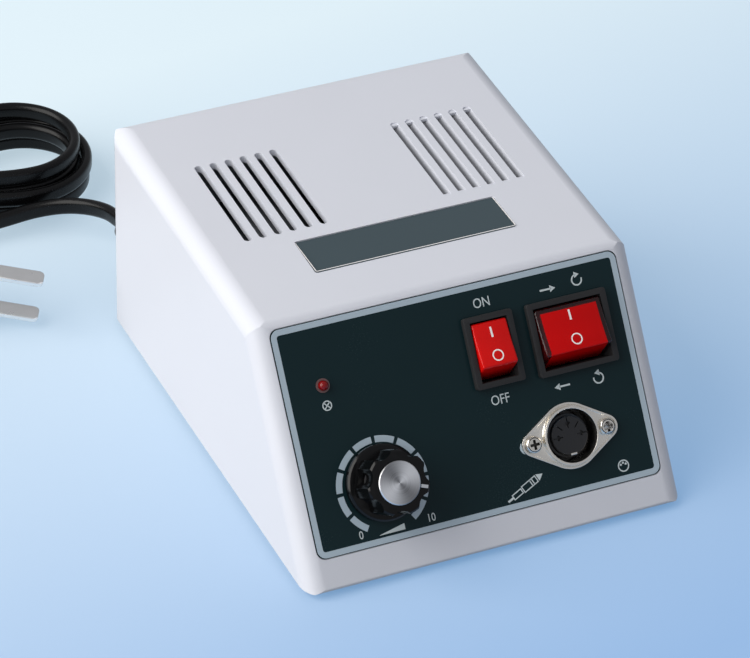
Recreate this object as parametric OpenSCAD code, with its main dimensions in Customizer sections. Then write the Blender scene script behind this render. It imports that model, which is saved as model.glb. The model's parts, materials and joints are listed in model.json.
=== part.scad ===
// Control box of a dental micromotor: a white plastic housing with a sloping front panel,
// a speed knob, two rocker switches, a motor socket, and a mains cord folded into a hank.
// Millimetres. +Z is up, +X is to the right of a person facing the panel, -Y is the front.
// The origin lies on the table, under the middle of the box and its knob and fuse cap.

/* [Housing] */
// Width of the housing
body_w = 114; // [98:1:150]
// Depth of the housing on the table
body_d = 146; // [136:1:190]
// Height of the housing at its top front edge
front_h = 61.6; // [58:0.2:80]
// Height of the housing at the rear
rear_h = 65.6; // [62:0.2:88]
// Angle between the front panel and the table
panel_angle = 55.5; // [52:0.5:62]
// Thickness of the housing's walls
wall = 2.2; // [1.8:0.1:3]
// Radius of the long side edges and of the upper rear edge
edge_r = 5.5; // [3:0.5:6]
// Radius of the edge between the top and the front panel
small_edge_r = 3.4; // [1:0.2:3.6]
// Radius of the bottom edges
rim_r = 0.8; // [0.4:0.2:2]
// Thickness of the base plate
base_t = 2.5; // [2:0.1:4]
// Height of the rubber feet below the base plate
foot_h = 2; // [2:0.5:5]
// Radius of a rubber foot
foot_r = 6; // [4:0.5:8]

/* [Panel and top] */
// Bare strip of housing beside the panel's overlay
overlay_side = 5.2; // [4:0.2:8]
// Bare strip of housing under the overlay
overlay_below = 9.5; // [6:0.5:12]
// Bare strip of housing over the overlay
overlay_above = 1.9; // [1.6:0.1:5]
// Thickness of the overlay
overlay_t = 0.6; // [0.4:0.1:1]
// Corner radius of the overlay
overlay_r = 2.6; // [1:0.2:5]
// Width of the name plate on the top
plate_w = 60.4; // [40:0.2:80]
// Depth of the name plate
plate_d = 15; // [10:0.5:18]
// Slots in each group of vents
vent_count = 6; // [3:1:7]
// Length of a vent slot
vent_l = 38; // [20:1:44]
// Width of a vent slot
vent_w = 2.4; // [1.6:0.1:3]
// Step from slot to slot
vent_step = 4.56; // [4:0.02:5]

/* [Speed knob] */
// Radius of the knob's grip over its lobes
grip_r = 9; // [8:0.5:11]
// Radius of the knob's skirt
skirt_r = 10.6; // [9:0.2:12]
// Height of the knob's top above the housing
knob_top = 14.1; // [12:0.1:18]
// Lobes of the grip
lobe_count = 7; // [5:1:9]
// Radius of the potentiometer's shaft
shaft_r = 3; // [2:0.5:3]
// Angle of the pointer from straight up, clockwise
pointer_angle = 110; // [-150:1:150]

/* [Switches] */
// Width of the power switch's frame
power_w = 14.6; // [13:0.2:18]
// Length of the power switch's frame
power_l = 20; // [19:0.2:22]
// Width of the direction switch's frame
direction_w = 24; // [20:0.2:25]
// Length of the direction switch's frame
direction_l = 20.6; // [19:0.2:22]
// Height of the frames above the overlay
frame_h = 2; // [1.5:0.1:3]
// Tilt of a rocker to either side
rocker_tilt = 12; // [8:1:12]

/* [Motor socket] */
// Radius of the opening in the socket's metal ring
socket_r = 7.5; // [7:0.1:8]
// Distance between the socket's two screws
socket_screw_gap = 22.4; // [22:0.1:24]
// Contacts of the socket
contact_count = 5; // [3:1:5]

/* [Mains cord] */
// Width of the flat mains cord
cord_d = 5.2; // [4.8:0.1:5.6]
// Thickness of the flat mains cord, which lies on its edge
cord_t = 3.2; // [2.8:0.1:3.4]
// Length of the tapered sleeve outside the housing
sleeve_l = 20; // [16:1:24]
// Length of the plug's body
plug_l = 34; // [28:1:40]
// Length of a plug blade
blade_l = 17.5; // [15:0.5:18]

/* [Hidden] */
$fn = 48;

// Clearances: between seated pieces, between turning pieces, and a cut's overshoot
seat_gap = 0.2;
run_gap = 0.06;
rock_gap = 0.3;
cut = 1;
far = 300;

// The slope of the front and the fall of the top
slope_run = front_h / tan(panel_angle);
slope_l = front_h / sin(panel_angle);
top_run = body_d - slope_run;
top_angle = atan((rear_h - front_h) / top_run);

// Places on the panel: x from the middle, s up the slope from its lower edge
knob_x = -body_w / 2 + 27.4;
knob_s = 26;
socket_x = body_w / 2 - 30.1;
socket_s = 25.8;
power_x = body_w / 2 - 46.9;
power_s = slope_l - 20.9;
direction_x = body_w / 2 - 23.2;
direction_s = slope_l - 21.5;
lamp_x = -body_w / 2 + 16.9;
lamp_s = slope_l - 19.5;

// Front and rear of the housing, so that the origin is in the middle of the whole box
fuse_reach = 8;
knob_reach = knob_top * sin(panel_angle) - (knob_s - grip_r) * cos(panel_angle);
front_y = -(body_d + fuse_reach - knob_reach) / 2;
rear_y = front_y + body_d;
base_top = foot_h + base_t;

// Corners of the side view: front bottom, rear bottom, rear top, top front
side_points = [
    [front_y, foot_h],
    [rear_y, foot_h],
    [rear_y, foot_h + rear_h],
    [front_y + slope_run, foot_h + front_h]
];
side_radii = [rim_r, rim_r, edge_r, small_edge_r];

// Overlay, its recess, and the name plate
overlay_w = body_w - 2 * overlay_side;
overlay_l = slope_l - overlay_below - overlay_above;
overlay_s = overlay_below + overlay_l / 2;
overlay_proud = 0.1;
recess_t = overlay_t - overlay_proud;
plate_t = 0.8;
plate_sink = 0.3;
plate_r = 0.8;
plate_back = 24.1;
vent_back = 55.7;
vent_middle = 30.2;
groove_side = 0.3;

// Base screws and the bosses that take them
boss_r = 3.5;
boss_h = 16;
boss_x = body_w / 2 - wall - 5.4;
boss_ys = [front_y + 25, rear_y - 10];
screw_r = 1.4;
screw_head_r = 2.6;
screw_head_h = 1.5;
base_screw_l = 12;
foot_inset = 18;

// Potentiometer and knob
bush_r = 3.5;
bush_h = 5.2;
can_r = 8.5;
can_h = 9;
pot_pin_step = 5;
pot_pin_size = [1.6, 6, 0.8];
pot_pin_lift = 1.5;
pot_tab_size = [13, 9, 4];
pot_nut_af = 10;
pot_nut_h = 2;
pot_washer_t = 0.5;
skirt_bottom = 0.8;
skirt_top = 3.2;
knob_bevel = 0.5;
grip_hollow_r = 7;
grip_hollow_top = 4.2;
flute_r = 3.9;
flute_depth = 1.4;
cap_r = 6;
cap_t = 1;
cap_proud = 0.5;
pointer_gap = 0.3;
pointer_w = 0.9;
pointer_l = 2;
pointer_t = 0.6;
pointer_proud = 0.1;
grub_r = 1.5;
grub_z = 7.5;
grub_l = 4;

// Rocker switches: window in the frame, rocker, pivot pins and the body behind the panel
frame_lip_x = 0.8;
frame_lip_y = 0.6;
window_rim_x = 1.7;
window_rim_y = 1.6;
rocker_mid_h = 8.2;
rocker_dish = 3;
rocker_depth = 2;
rocker_sink = 0.2;
rocker_end_gap = 0.5;
pin_r = 1;
pin_l = 0.7;
switch_depth = 14;
switch_floor = 4;
blade_w = 4.8;
blade_t = 0.8;
terminal_l = 7;
power_pin_step = [8, 8];
direction_pin_step = [10, 6];
frame_r = 0.8;

// Lamp
lens_r = 1.4;
lens_h = 0.9;
lamp_rim_r = 1.95;
lamp_rim_h = 0.4;
lamp_depth = 6;
lead_r = 0.25;
lead_gap = 2.54;
lead_l = 8;

// Motor socket
ring_t = 0.65;
ring_h = 2.6;
flange_r = 9.2;
flange_t = 0.7;
flange_rim_h = 0.4;
flange_rim_w = 0.6;
ear_r = 3.3;
socket_depth = 9;
socket_floor = 2;
insert_r = 6.05;
insert_top = 1;
contact_r = 0.9;
contact_wall = 0.25;
contact_ring = 3.5;
contact_tail = 4;
key_w = 1.8;
key_d = 1.1;
socket_screw_head_r = 2.4;
socket_screw_head_h = 1.5;
socket_screw_l = 9;
socket_nut_af = 5.5;
socket_nut_h = 2.2;
cross_w = 0.8;
cross_l = 2.8;
cross_depth = 0.8;

// Transformer, its width along Y
core_w = 57;
core_h = 47.5;
core_t = 25;
limb = 9.5;
coil_out = 9;
coil_r = 6;
strap_t = 1;
strap_w = 18;
strap_foot = 12;
transformer_x = -body_w / 2 + 32;
transformer_y = rear_y - 58;
core_z = base_top + strap_t;

// Circuit board and what stands on it
board_w = 40;
board_l = 62;
board_t = 1.6;
board_x = body_w / 2 - wall - 4 - board_w / 2;
board_y = rear_y - 50;
standoff_h = 6;
standoff_r = 2.8;
standoff_inset = 3.5;
board_z = base_top + standoff_h;
board_top = board_z + board_t;
board_screw_l = 5;
board_hole_r = 1.6;
capacitor_r = 8;
capacitor_h = 25;
capacitor_at = [9, -18];
rectifier_size = [15, 5.5, 12];
rectifier_at = [-8, -20];
sink_size = [26, 2, 22];
sink_at = [-4, 8];
fin_count = 5;
fin_l = 7;
fin_t = 1.2;
transistor_size = [10, 4.5, 15];
transistor_lift = 4;
block_size = [25, 8, 10];
block_at = [0, 21];

// Fuse holder and foot switch jack in the rear wall
fuse_x = body_w / 2 - 27;
fuse_z = foot_h + 42;
fuse_bush_r = 6;
fuse_flange_r = 8;
fuse_flange_t = 2;
fuse_depth = 32;
fuse_tube_r = 2.6;
fuse_l = 20;
fuse_end_l = 5;
fuse_cap_r = 5.2;
fuse_cap_in = 6;
fuse_nut_h = 3;
jack_x = 4;
jack_z = foot_h + 18;
jack_neck_r = 3.9;
jack_bore_r = 1.8;
jack_nut_r = 5.5;
jack_nut_h = 2.4;
jack_size = [11, 9, 14];

// Cord gland
gland_x = -body_w / 2 + 13;
gland_z = 14;
gland_neck_r = 5.6;
gland_flange_r = 7.5;
gland_flange_t = 2;
gland_lip_t = 2.5;
sleeve_r = 5.2;
sleeve_tip_r = 3.4;

// The cord's pieces lie in a frame of their own, with its origin on the table below the gland.
// Hank: folds about its middle, a side step from loop to loop and a rise from layer to layer
tie_w = 5;
tie_t = 0.6;
tie_r = 3;
tie_gap = 0.6;
turn_gap = 0.7;
hank_x = -57.5;
hank_y = 75.5;
hank_run = 90;
hank_fold_r = 15.8;
hank_lean = 0.25;
hank_step = cord_t + turn_gap;
hank_rise = cord_d + turn_gap;
hank_z = cord_d / 2 + tie_gap + tie_t;
waist_in = 10;
waist_turn = 0.12;
layer_turns = 1.5;
first_reverse = 1.5 + waist_turn;
run_share = 0.245;
hank_start = run_share;
hank_end = 4 + waist_turn;
rings_per_loop = 24;

// Plug: middle of its front face, where its blades point, and its own sizes
plug_nose = [-49, 11, 12.6];
plug_heading = -27;
plug_dip = 8;
plug_h = 24;
plug_rear_h = 15;
plug_t = 13;
plug_edge_r = 3;
plug_sleeve_l = 20;
plug_sleeve_r = 5;
blade_gap = 12.7;
blade_h = 6.3;
blade_thick = 1.5;
blade_tip_r = 1.8;

// Route of the cord between the gland's sleeve and the hank, and from the hank to the plug
lead_route = [
    [-1.4, 34, 13], [-5, 41.2, 11.2], [-10.5, 46.8, 9.4], [-18, 50, 7.8], [-27, 51, 6.4],
    [-38, 51.4, 5.2], [-50, 51.8, 4.3], [-64, 52.6, 3.8], [-80, 53.6, 3.8]
];
tail_route = [
    [-73, 68.6, 17.8], [-83, 73.4, 21], [-92, 75.6, 22.2], [-101.75, 73, 22.2],
    [-108.9, 65.8, 22], [-111.5, 56, 21.8], [-109, 46.3, 21.4]
];

// Directions and lengths
function unit(v) = v / norm(v);
function left_of(v) = [-v[1], v[0]];
function edge_dir(p, i) = unit(p[(i + 1) % len(p)] - p[i % len(p)]);
function ease(u) = let (v = min(max(u, 0), 1)) v * v * (3 - 2 * v);

// A closed outline with each edge moved in by its own distance
function inset(p, d) = let (n = len(p)) [
    for (i = [0:n - 1])
        let (a = edge_dir(p, i + n - 1), b = edge_dir(p, i))
        p[i] + (d[(i + n - 1) % n] * b - d[i] * a) / cross(a, b)
];

// Middle of the arc that rounds corner i
function arc_middle(p, i, r) = let (n = len(p), a = edge_dir(p, i + n - 1), b = edge_dir(p, i))
    p[i] + r * (b - a) / cross(a, b);

// A convex outline with true round corners
module rounded_outline(p, radii) {
    n = len(p);
    polygon([
        for (i = [0:n - 1])
            let (c = arc_middle(p, i, radii[i]))
            each [
                c - radii[i] * left_of(edge_dir(p, i + n - 1)),
                c - radii[i] * left_of(edge_dir(p, i))
            ]
    ]);
    for (i = [0:n - 1]) {
        translate(arc_middle(p, i, radii[i])) circle(radii[i]);
    }
}

module rounded_rect(w, l, r) {
    square([w - 2 * r, l], center = true);
    square([w, l - 2 * r], center = true);
    for (x = [-1, 1], y = [-1, 1]) {
        translate([x * (w / 2 - r), y * (l / 2 - r)]) circle(r);
    }
}

// Local frames: the panel with Z outward and Y up the slope, the top, and the rear with Z outward
module on_panel(x, s) {
    translate([x, front_y + s * cos(panel_angle), foot_h + s * sin(panel_angle)])
        rotate([panel_angle, 0, 0]) children();
}

module on_top(x, back) {
    translate([0, front_y + slope_run, foot_h + front_h])
        rotate([top_angle, 0, 0]) translate([x, back, 0]) children();
}

module on_rear(x, z) {
    translate([x, rear_y, z]) rotate([-90, 0, 0]) children();
}

module box(size, z = 0) {
    translate([-size[0] / 2, -size[1] / 2, z]) cube(size);
}

// A ring or tube from z = low to z = high
module ring(r_out, r_in, low, high) {
    difference() {
        translate([0, 0, low]) cylinder(h = high - low, r = r_out);
        translate([0, 0, low - cut]) cylinder(h = high - low + 2 * cut, r = r_in);
    }
}

module rod(r, low, high) {
    translate([0, 0, low]) cylinder(h = high - low, r = r);
}

// A rod whose upper edge is bevelled
module beveled_rod(r, low, high, bevel) {
    rod(r, low, high - bevel);
    translate([0, 0, high - bevel]) cylinder(h = bevel, r1 = r, r2 = r - bevel);
}

// A hexagonal nut, by its width across flats
module hex_nut(af, r_in, low, high) {
    difference() {
        translate([0, 0, low]) cylinder(h = high - low, r = af / 2 / cos(30), $fn = 6);
        translate([0, 0, low - cut]) cylinder(h = high - low + 2 * cut, r = r_in);
    }
}

// A screw with its head above z = 0 and its shank below, with a cross slot
module cross_screw(head_r, head_h, shank_r, l) {
    difference() {
        union() {
            rod(head_r, 0, head_h);
            rod(shank_r, -l, 0);
        }
        for (a = [0, 90]) {
            rotate(a) box([cross_l, cross_w, 2 * cross_depth], head_h - cross_depth);
        }
    }
}

// Closed outer shape of the housing: its side view, its plan, and the rounding of its side edges
module side_edges() {
    rotate([90, 0, 0]) linear_extrude(height = 2 * far, center = true)
        translate([0, -far / 2]) rounded_rect(body_w, far, edge_r);
}

module housing_block() {
    intersection() {
        rotate([90, 0, 90]) linear_extrude(height = body_w, center = true)
            rounded_outline(side_points, side_radii);
        translate([0, rear_y - far / 2, 0]) linear_extrude(height = far)
            rounded_rect(body_w, far, edge_r);
        on_top(0, 0) side_edges();
        on_panel(0, 0) side_edges();
    }
}

module housing_cavity() {
    rotate([90, 0, 90]) linear_extrude(height = body_w - 2 * wall, center = true)
        polygon(inset(side_points, [-cut, wall, wall, wall]));
}

module bosses() {
    for (x = [-1, 1], y = boss_ys) {
        translate([x * boss_x, y, 0]) {
            rod(boss_r, base_top + seat_gap, base_top + boss_h);
            translate([x > 0 ? 0 : -boss_r - wall, -wall / 2, base_top + seat_gap])
                cube([boss_r + wall, wall, boss_h - seat_gap]);
        }
    }
}

module boss_holes() {
    for (x = [-1, 1], y = boss_ys) {
        translate([x * boss_x, y, 0]) rod(screw_r + run_gap, foot_h, foot_h + base_screw_l + cut);
    }
}

// Six parallel slots in the top, spaced across it
module vent_group(x) {
    for (i = [0:vent_count - 1]) {
        on_top(x + (i - (vent_count - 1) / 2) * vent_step, vent_back) children();
    }
}

// A slot with round ends, cut down to the given depth
module vent_slot(depth) {
    box([vent_w, vent_l - vent_w, depth + cut], -depth);
    for (e = [-1, 1]) {
        translate([0, e * (vent_l - vent_w) / 2, 0]) rod(vent_w / 2, -depth, cut);
    }
}

// A blind slot with a round bottom
module vent_groove() {
    vent_slot(groove_side);
    translate([0, 0, -groove_side]) rotate([90, 0, 0])
        cylinder(h = vent_l - vent_w, r = vent_w / 2, center = true);
}

// What passes through the panel: the same holes in the housing and in the overlay
module panel_holes() {
    on_panel(knob_x, knob_s) rod(bush_r + seat_gap, -2 * wall, cut);
    on_panel(lamp_x, lamp_s) rod(lamp_rim_r - seat_gap, -2 * wall, cut);
    on_panel(power_x, power_s) switch_hole(power_w, power_l);
    on_panel(direction_x, direction_s) switch_hole(direction_w, direction_l);
    on_panel(socket_x, socket_s) {
        rod(socket_r + ring_t + seat_gap, -2 * wall, cut);
        for (x = [-1, 1]) {
            translate([x * socket_screw_gap / 2, 0, 0]) rod(screw_r + seat_gap, -2 * wall, cut);
        }
    }
}

module switch_hole(w, l) {
    hole_w = w - 2 * frame_lip_x + 2 * seat_gap;
    hole_l = l - 2 * frame_lip_y + 2 * seat_gap;
    box([hole_w, hole_l, 2 * wall + cut], -2 * wall);
}

module overlay_outline(w, l, r) {
    linear_extrude(height = far) rounded_rect(w, l, r);
}

module upper_shell() {
    color("whitesmoke") difference() {
        union() {
            difference() {
                housing_block();
                housing_cavity();
            }
            bosses();
        }
        boss_holes();
        panel_holes();
        on_panel(0, overlay_s) translate([0, 0, -recess_t])
            overlay_outline(overlay_w + 2 * seat_gap, overlay_l + 2 * seat_gap, overlay_r);
        on_top(0, plate_back) translate([0, 0, -plate_sink - plate_t])
            overlay_outline(plate_w + 2 * seat_gap, plate_d + 2 * seat_gap, plate_r);
        vent_group(-vent_middle) vent_slot(2 * wall);
        vent_group(vent_middle) vent_groove();
        on_rear(gland_x, gland_z) rod(gland_neck_r + seat_gap, -2 * wall, cut);
        on_rear(fuse_x, fuse_z) rod(fuse_bush_r + seat_gap, -2 * wall, cut);
        on_rear(jack_x, jack_z) rod(jack_neck_r + seat_gap, -2 * wall, cut);
    }
}

// Base plate, flush with the lower rim of the housing
base_front = front_y + wall / sin(panel_angle) + base_t / tan(panel_angle) + seat_gap;
base_rear = rear_y - wall - seat_gap;
base_w = body_w - 2 * wall - 2 * seat_gap;

module base_plate() {
    color("gainsboro") difference() {
        translate([-base_w / 2, base_front, foot_h]) cube([base_w, base_rear - base_front, base_t]);
        boss_holes();
        for (x = [-1, 1], y = boss_ys) {
            translate([x * boss_x, y, 0]) rod(screw_r + seat_gap, 0, base_top + cut);
        }
        at_strap_feet() rod(screw_r + seat_gap, 0, base_top + cut);
    }
}

module rubber_feet() {
    color("dimgray") for (x = [-1, 1], y = [base_front + foot_inset, base_rear - foot_inset]) {
        translate([x * (base_w / 2 - foot_inset), y, 0]) rod(foot_r, 0, foot_h);
    }
}

module base_screws() {
    color("silver") for (x = [-1, 1], y = boss_ys) {
        translate([x * boss_x, y, foot_h]) mirror([0, 0, 1])
            cross_screw(screw_head_r, screw_head_h, screw_r, base_screw_l);
    }
}

module front_overlay() {
    color("darkslategray") difference() {
        on_panel(0, overlay_s) translate([0, 0, -recess_t])
            linear_extrude(height = overlay_t) rounded_rect(overlay_w, overlay_l, overlay_r - seat_gap);
        panel_holes();
    }
}

module name_plate() {
    color("slategray") on_top(0, plate_back) translate([0, 0, -plate_sink - plate_t])
        linear_extrude(height = plate_t) rounded_rect(plate_w, plate_d, plate_r);
}

// Everything on the knob's axis, with Y along the pointer
module on_knob() {
    on_panel(knob_x, knob_s) rotate(-pointer_angle) children();
}

module pointer_bar(grow) {
    translate([-pointer_w / 2 - grow, cap_r + pointer_gap - grow, knob_top + pointer_proud - pointer_t])
        cube([pointer_w + 2 * grow, pointer_l + 2 * grow, pointer_t + cut]);
}

module knob_body() {
    color("black") on_knob() difference() {
        union() {
            beveled_rod(skirt_r, skirt_bottom, skirt_top, knob_bevel);
            beveled_rod(grip_r, skirt_bottom, knob_top, knob_bevel);
        }
        for (i = [0:lobe_count - 1]) {
            rotate((i + 0.5) * 360 / lobe_count)
                translate([0, grip_r - flute_depth + flute_r, 0]) rod(flute_r, skirt_top, knob_top + cut);
        }
        rod(grip_hollow_r, 0, grip_hollow_top);
        rod(shaft_r + run_gap, 0, knob_top - cap_t - cut);
        rod(cap_r + run_gap, knob_top + cap_proud - cap_t, knob_top + cut);
        pointer_bar(run_gap);
        translate([0, 0, grub_z]) rotate([90, 0, 0]) rod(grub_r + run_gap, 0, grip_r + cut);
    }
}

module knob_cap() {
    color("silver") on_knob() rod(cap_r, knob_top + cap_proud - cap_t, knob_top + cap_proud);
}

module knob_pointer() {
    low = knob_top + pointer_proud - pointer_t;
    color("white") on_knob() translate([-pointer_w / 2, cap_r + pointer_gap, low])
        cube([pointer_w, pointer_l, pointer_t]);
}

module knob_grub_screw() {
    color("gray") on_knob() translate([0, 0, grub_z]) rotate([90, 0, 0]) difference() {
        rod(grub_r, shaft_r + run_gap, shaft_r + run_gap + grub_l);
        box([2 * grub_r + cut, cross_w, cut], shaft_r + grub_l - cross_depth);
    }
}

module pot_shaft() {
    color("silver") on_knob() rod(shaft_r, -can_h + cut - wall, knob_top - cap_t - 2 * cut);
}

module pot_body() {
    color("darkgoldenrod") on_panel(knob_x, knob_s) difference() {
        union() {
            rod(can_r, -wall - can_h, -wall);
            rod(bush_r, -wall, bush_h - wall);
            translate([0, -pot_tab_size[1] / 2, 0]) box(pot_tab_size, -wall - can_h);
        }
        rod(shaft_r + run_gap, -can_h + cut - wall - run_gap, bush_h);
    }
}

module pot_washer() {
    color("silver") on_panel(knob_x, knob_s)
        ring(pot_nut_af / 2 + 1, bush_r + run_gap, overlay_proud, overlay_proud + pot_washer_t);
}

module pot_nut() {
    low = overlay_proud + pot_washer_t;
    color("silver") on_panel(knob_x, knob_s) hex_nut(pot_nut_af, bush_r + run_gap, low, low + pot_nut_h);
}

module pot_terminals() {
    color("gold") on_panel(knob_x, knob_s) for (i = [-1:1]) {
        translate([i * pot_pin_step, -pot_tab_size[1] - pot_pin_size[1] / 2, -wall - can_h])
            box(pot_pin_size, pot_pin_lift);
    }
}

// A rocker switch: rest is with the upper end pressed in, the joint's axis runs along X
function window_l(l) = l - 2 * window_rim_y;
function window_w(w) = w - 2 * window_rim_x;
// Half length of the rocker that keeps its pressed end clear of the window
function rocker_half(l) = (window_l(l) / 2 - rocker_end_gap - rocker_mid_h * sin(rocker_tilt))
    / (cos(rocker_tilt) + tan(rocker_dish) * sin(rocker_tilt));
// Height of the pivot, so that the pressed end lies just under the frame's face
function pivot_h(l) = overlay_proud + frame_h - rocker_sink + rocker_half(l) * sin(rocker_tilt)
    - (rocker_mid_h + rocker_half(l) * tan(rocker_dish)) * cos(rocker_tilt);

module switch_frame(w, l) {
    low = -switch_depth;
    difference() {
        union() {
            translate([0, 0, overlay_proud]) linear_extrude(height = frame_h) rounded_rect(w, l, frame_r);
            box([w - 2 * frame_lip_x, l - 2 * frame_lip_y, switch_depth + overlay_proud], low);
        }
        box([window_w(w), window_l(l), switch_depth + frame_h + cut], low + switch_floor);
        translate([0, 0, pivot_h(l)]) rotate([0, 90, 0]) rod(pin_r + run_gap, -w, w);
    }
}

module rocker(w, l) {
    half = rocker_half(l);
    end_h = rocker_mid_h + half * tan(rocker_dish);
    waist = half + end_h * tan(rocker_tilt);
    foot = waist - rocker_depth * tan(rocker_tilt);
    width = window_w(w) - 2 * rock_gap;
    translate([0, 0, pivot_h(l)]) rotate([-rocker_tilt, 0, 0]) {
        rotate([90, 0, 90]) linear_extrude(height = width, center = true) polygon([
            [-foot, -rocker_depth], [foot, -rocker_depth], [waist, 0], [half, end_h],
            [0, rocker_mid_h], [-half, end_h], [-waist, 0]
        ]);
        rotate([0, 90, 0]) rod(pin_r, -width / 2 - pin_l, width / 2 + pin_l);
    }
}

module switch_terminals(columns, rows, step) {
    for (i = [0:columns - 1], j = [0:rows - 1]) {
        translate([(i - (columns - 1) / 2) * step[0], (j - (rows - 1) / 2) * step[1], 0])
            box([blade_w, blade_t, terminal_l], -switch_depth - terminal_l);
    }
}

module power_switch_frame() {
    color("dimgray") on_panel(power_x, power_s) switch_frame(power_w, power_l);
}

module power_rocker() {
    color("red") on_panel(power_x, power_s) rocker(power_w, power_l);
}

module power_switch_terminals() {
    color("silver") on_panel(power_x, power_s) switch_terminals(1, 2, power_pin_step);
}

module direction_switch_frame() {
    color("dimgray") on_panel(direction_x, direction_s) switch_frame(direction_w, direction_l);
}

module direction_rocker() {
    color("firebrick") on_panel(direction_x, direction_s) rocker(direction_w, direction_l);
}

module direction_switch_terminals() {
    color("silver") on_panel(direction_x, direction_s) switch_terminals(2, 3, direction_pin_step);
}

module lamp_holder() {
    color("lightgray") on_panel(lamp_x, lamp_s) difference() {
        union() {
            rod(lamp_rim_r, overlay_proud, overlay_proud + lamp_rim_h);
            rod(lamp_rim_r - 2 * seat_gap, -lamp_depth + cut, overlay_proud);
        }
        rod(lens_r + run_gap, -lamp_depth, lamp_rim_h + cut);
    }
}

module pilot_lamp() {
    color("crimson") on_panel(lamp_x, lamp_s) {
        rod(lens_r, -lamp_depth + cut, lens_h);
        rod(lamp_rim_r, -lamp_depth, -lamp_depth + cut);
        translate([0, 0, lens_h]) sphere(lens_r);
    }
}

module lamp_leads() {
    color("silver") on_panel(lamp_x, lamp_s) for (x = [-1, 1]) {
        translate([x * lead_gap / 2, 0, 0]) rod(lead_r, -lamp_depth - lead_l, -lamp_depth);
    }
}

// Outline of the socket's flange: a disc, two ears and the straight lines between them
module flange_outline(big, small) {
    hull() {
        circle(big, $fn = 64);
        for (x = [-1, 1]) {
            translate([x * socket_screw_gap / 2, 0]) circle(small, $fn = 32);
        }
    }
}

module socket_flange() {
    ring_out = socket_r + ring_t;
    color("silver") on_panel(socket_x, socket_s) translate([0, 0, overlay_proud]) difference() {
        union() {
            difference() {
                linear_extrude(height = flange_t + flange_rim_h) flange_outline(flange_r, ear_r);
                translate([0, 0, flange_t]) linear_extrude(height = cut)
                    flange_outline(flange_r - flange_rim_w, ear_r - flange_rim_w);
            }
            rod(ring_out, -socket_depth, ring_h);
        }
        rod(socket_r, -socket_depth - cut, ring_h + cut);
        for (x = [-1, 1]) {
            translate([x * socket_screw_gap / 2, 0, 0]) rod(screw_r + seat_gap, -cut, flange_t + cut);
        }
    }
}

// Places of the contacts, on the upper half of a circle
module at_contacts() {
    for (i = [0:contact_count - 1]) {
        rotate(i * 180 / (contact_count - 1)) translate([contact_ring, 0, 0]) children();
    }
}

module socket_insert() {
    low = overlay_proud - socket_depth;
    color("black") on_panel(socket_x, socket_s) difference() {
        union() {
            rod(insert_r, low, insert_top);
            rod(socket_r - run_gap, low, low + socket_floor);
        }
        at_contacts() rod(contact_r, low - cut, insert_top + cut);
        translate([0, -insert_r, 0]) box([key_w, 2 * key_d, socket_depth], low + socket_floor);
    }
}

module socket_contacts() {
    low = overlay_proud - socket_depth;
    color("gold") on_panel(socket_x, socket_s) at_contacts() {
        ring(contact_r - run_gap, contact_r - contact_wall, low, insert_top - cut);
        rod(contact_r - contact_wall, low - contact_tail, low + cut);
    }
}

module socket_screws() {
    color("silver") on_panel(socket_x, socket_s) for (x = [-1, 1]) {
        translate([x * socket_screw_gap / 2, 0, overlay_proud + flange_t])
            cross_screw(socket_screw_head_r, socket_screw_head_h, screw_r, socket_screw_l);
    }
}

module socket_nuts() {
    color("silver") on_panel(socket_x, socket_s) for (x = [-1, 1]) {
        translate([x * socket_screw_gap / 2, 0, 0]) rotate(30)
            hex_nut(socket_nut_af, screw_r + run_gap, -wall - socket_nut_h, -wall);
    }
}

// Transformer: laminated core, winding, and the strap that holds it on the base plate
module on_transformer() {
    translate([transformer_x, transformer_y, core_z]) rotate(90) children();
}

module at_strap_feet() {
    reach = core_w / 2 + strap_t + strap_foot / 2;
    for (y = [-1, 1]) {
        translate([transformer_x, transformer_y + y * reach, 0]) children();
    }
}

module transformer_core() {
    color("slategray") on_transformer() difference() {
        box([core_w, core_t, core_h]);
        for (x = [-1, 1]) {
            translate([x * 1.5 * limb, 0, limb]) box([limb, core_t + cut, core_h - 2 * limb]);
        }
    }
}

module transformer_coil() {
    color("peru") on_transformer() translate([0, 0, limb + seat_gap]) difference() {
        linear_extrude(height = core_h - 2 * limb - 2 * seat_gap)
            rounded_rect(4 * limb - 2 * seat_gap, core_t + 2 * coil_out, coil_r);
        box([2 * limb + 2 * seat_gap, core_t + 2 * seat_gap, core_h], -cut);
    }
}

module transformer_bracket() {
    color("lightgray") difference() {
        on_transformer() {
            box([core_w + 2 * strap_t, strap_w, strap_t], core_h);
            for (x = [-1, 1]) {
                translate([x * (core_w + strap_t) / 2, 0, 0])
                    box([strap_t, strap_w, core_h + strap_t], -strap_t);
                translate([x * (core_w + strap_foot + strap_t) / 2, 0, 0])
                    box([strap_foot + strap_t, strap_w, strap_t], -strap_t);
            }
        }
        at_strap_feet() rod(screw_r + seat_gap, base_top - cut, core_z + cut);
    }
}

module transformer_screws() {
    color("silver") at_strap_feet() {
        translate([0, 0, core_z]) cross_screw(screw_head_r, screw_head_h, screw_r, base_t + strap_t);
    }
}

// Circuit board on four standoffs
module at_standoffs() {
    for (x = [-1, 1], y = [-1, 1]) {
        translate([
            board_x + x * (board_w / 2 - standoff_inset),
            board_y + y * (board_l / 2 - standoff_inset),
            0
        ]) children();
    }
}

module on_board(at) {
    translate([board_x + at[0], board_y + at[1], board_top]) children();
}

module circuit_board() {
    color("darkgreen") difference() {
        translate([board_x, board_y, board_z]) box([board_w, board_l, board_t]);
        at_standoffs() rod(board_hole_r, board_z - cut, board_top + cut);
    }
}

module board_standoffs() {
    color("white") at_standoffs() ring(standoff_r, screw_r + run_gap, base_top, board_z);
}

module board_screws() {
    color("silver") at_standoffs() {
        translate([0, 0, board_top]) cross_screw(screw_head_r, screw_head_h, screw_r, board_screw_l);
    }
}

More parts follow.
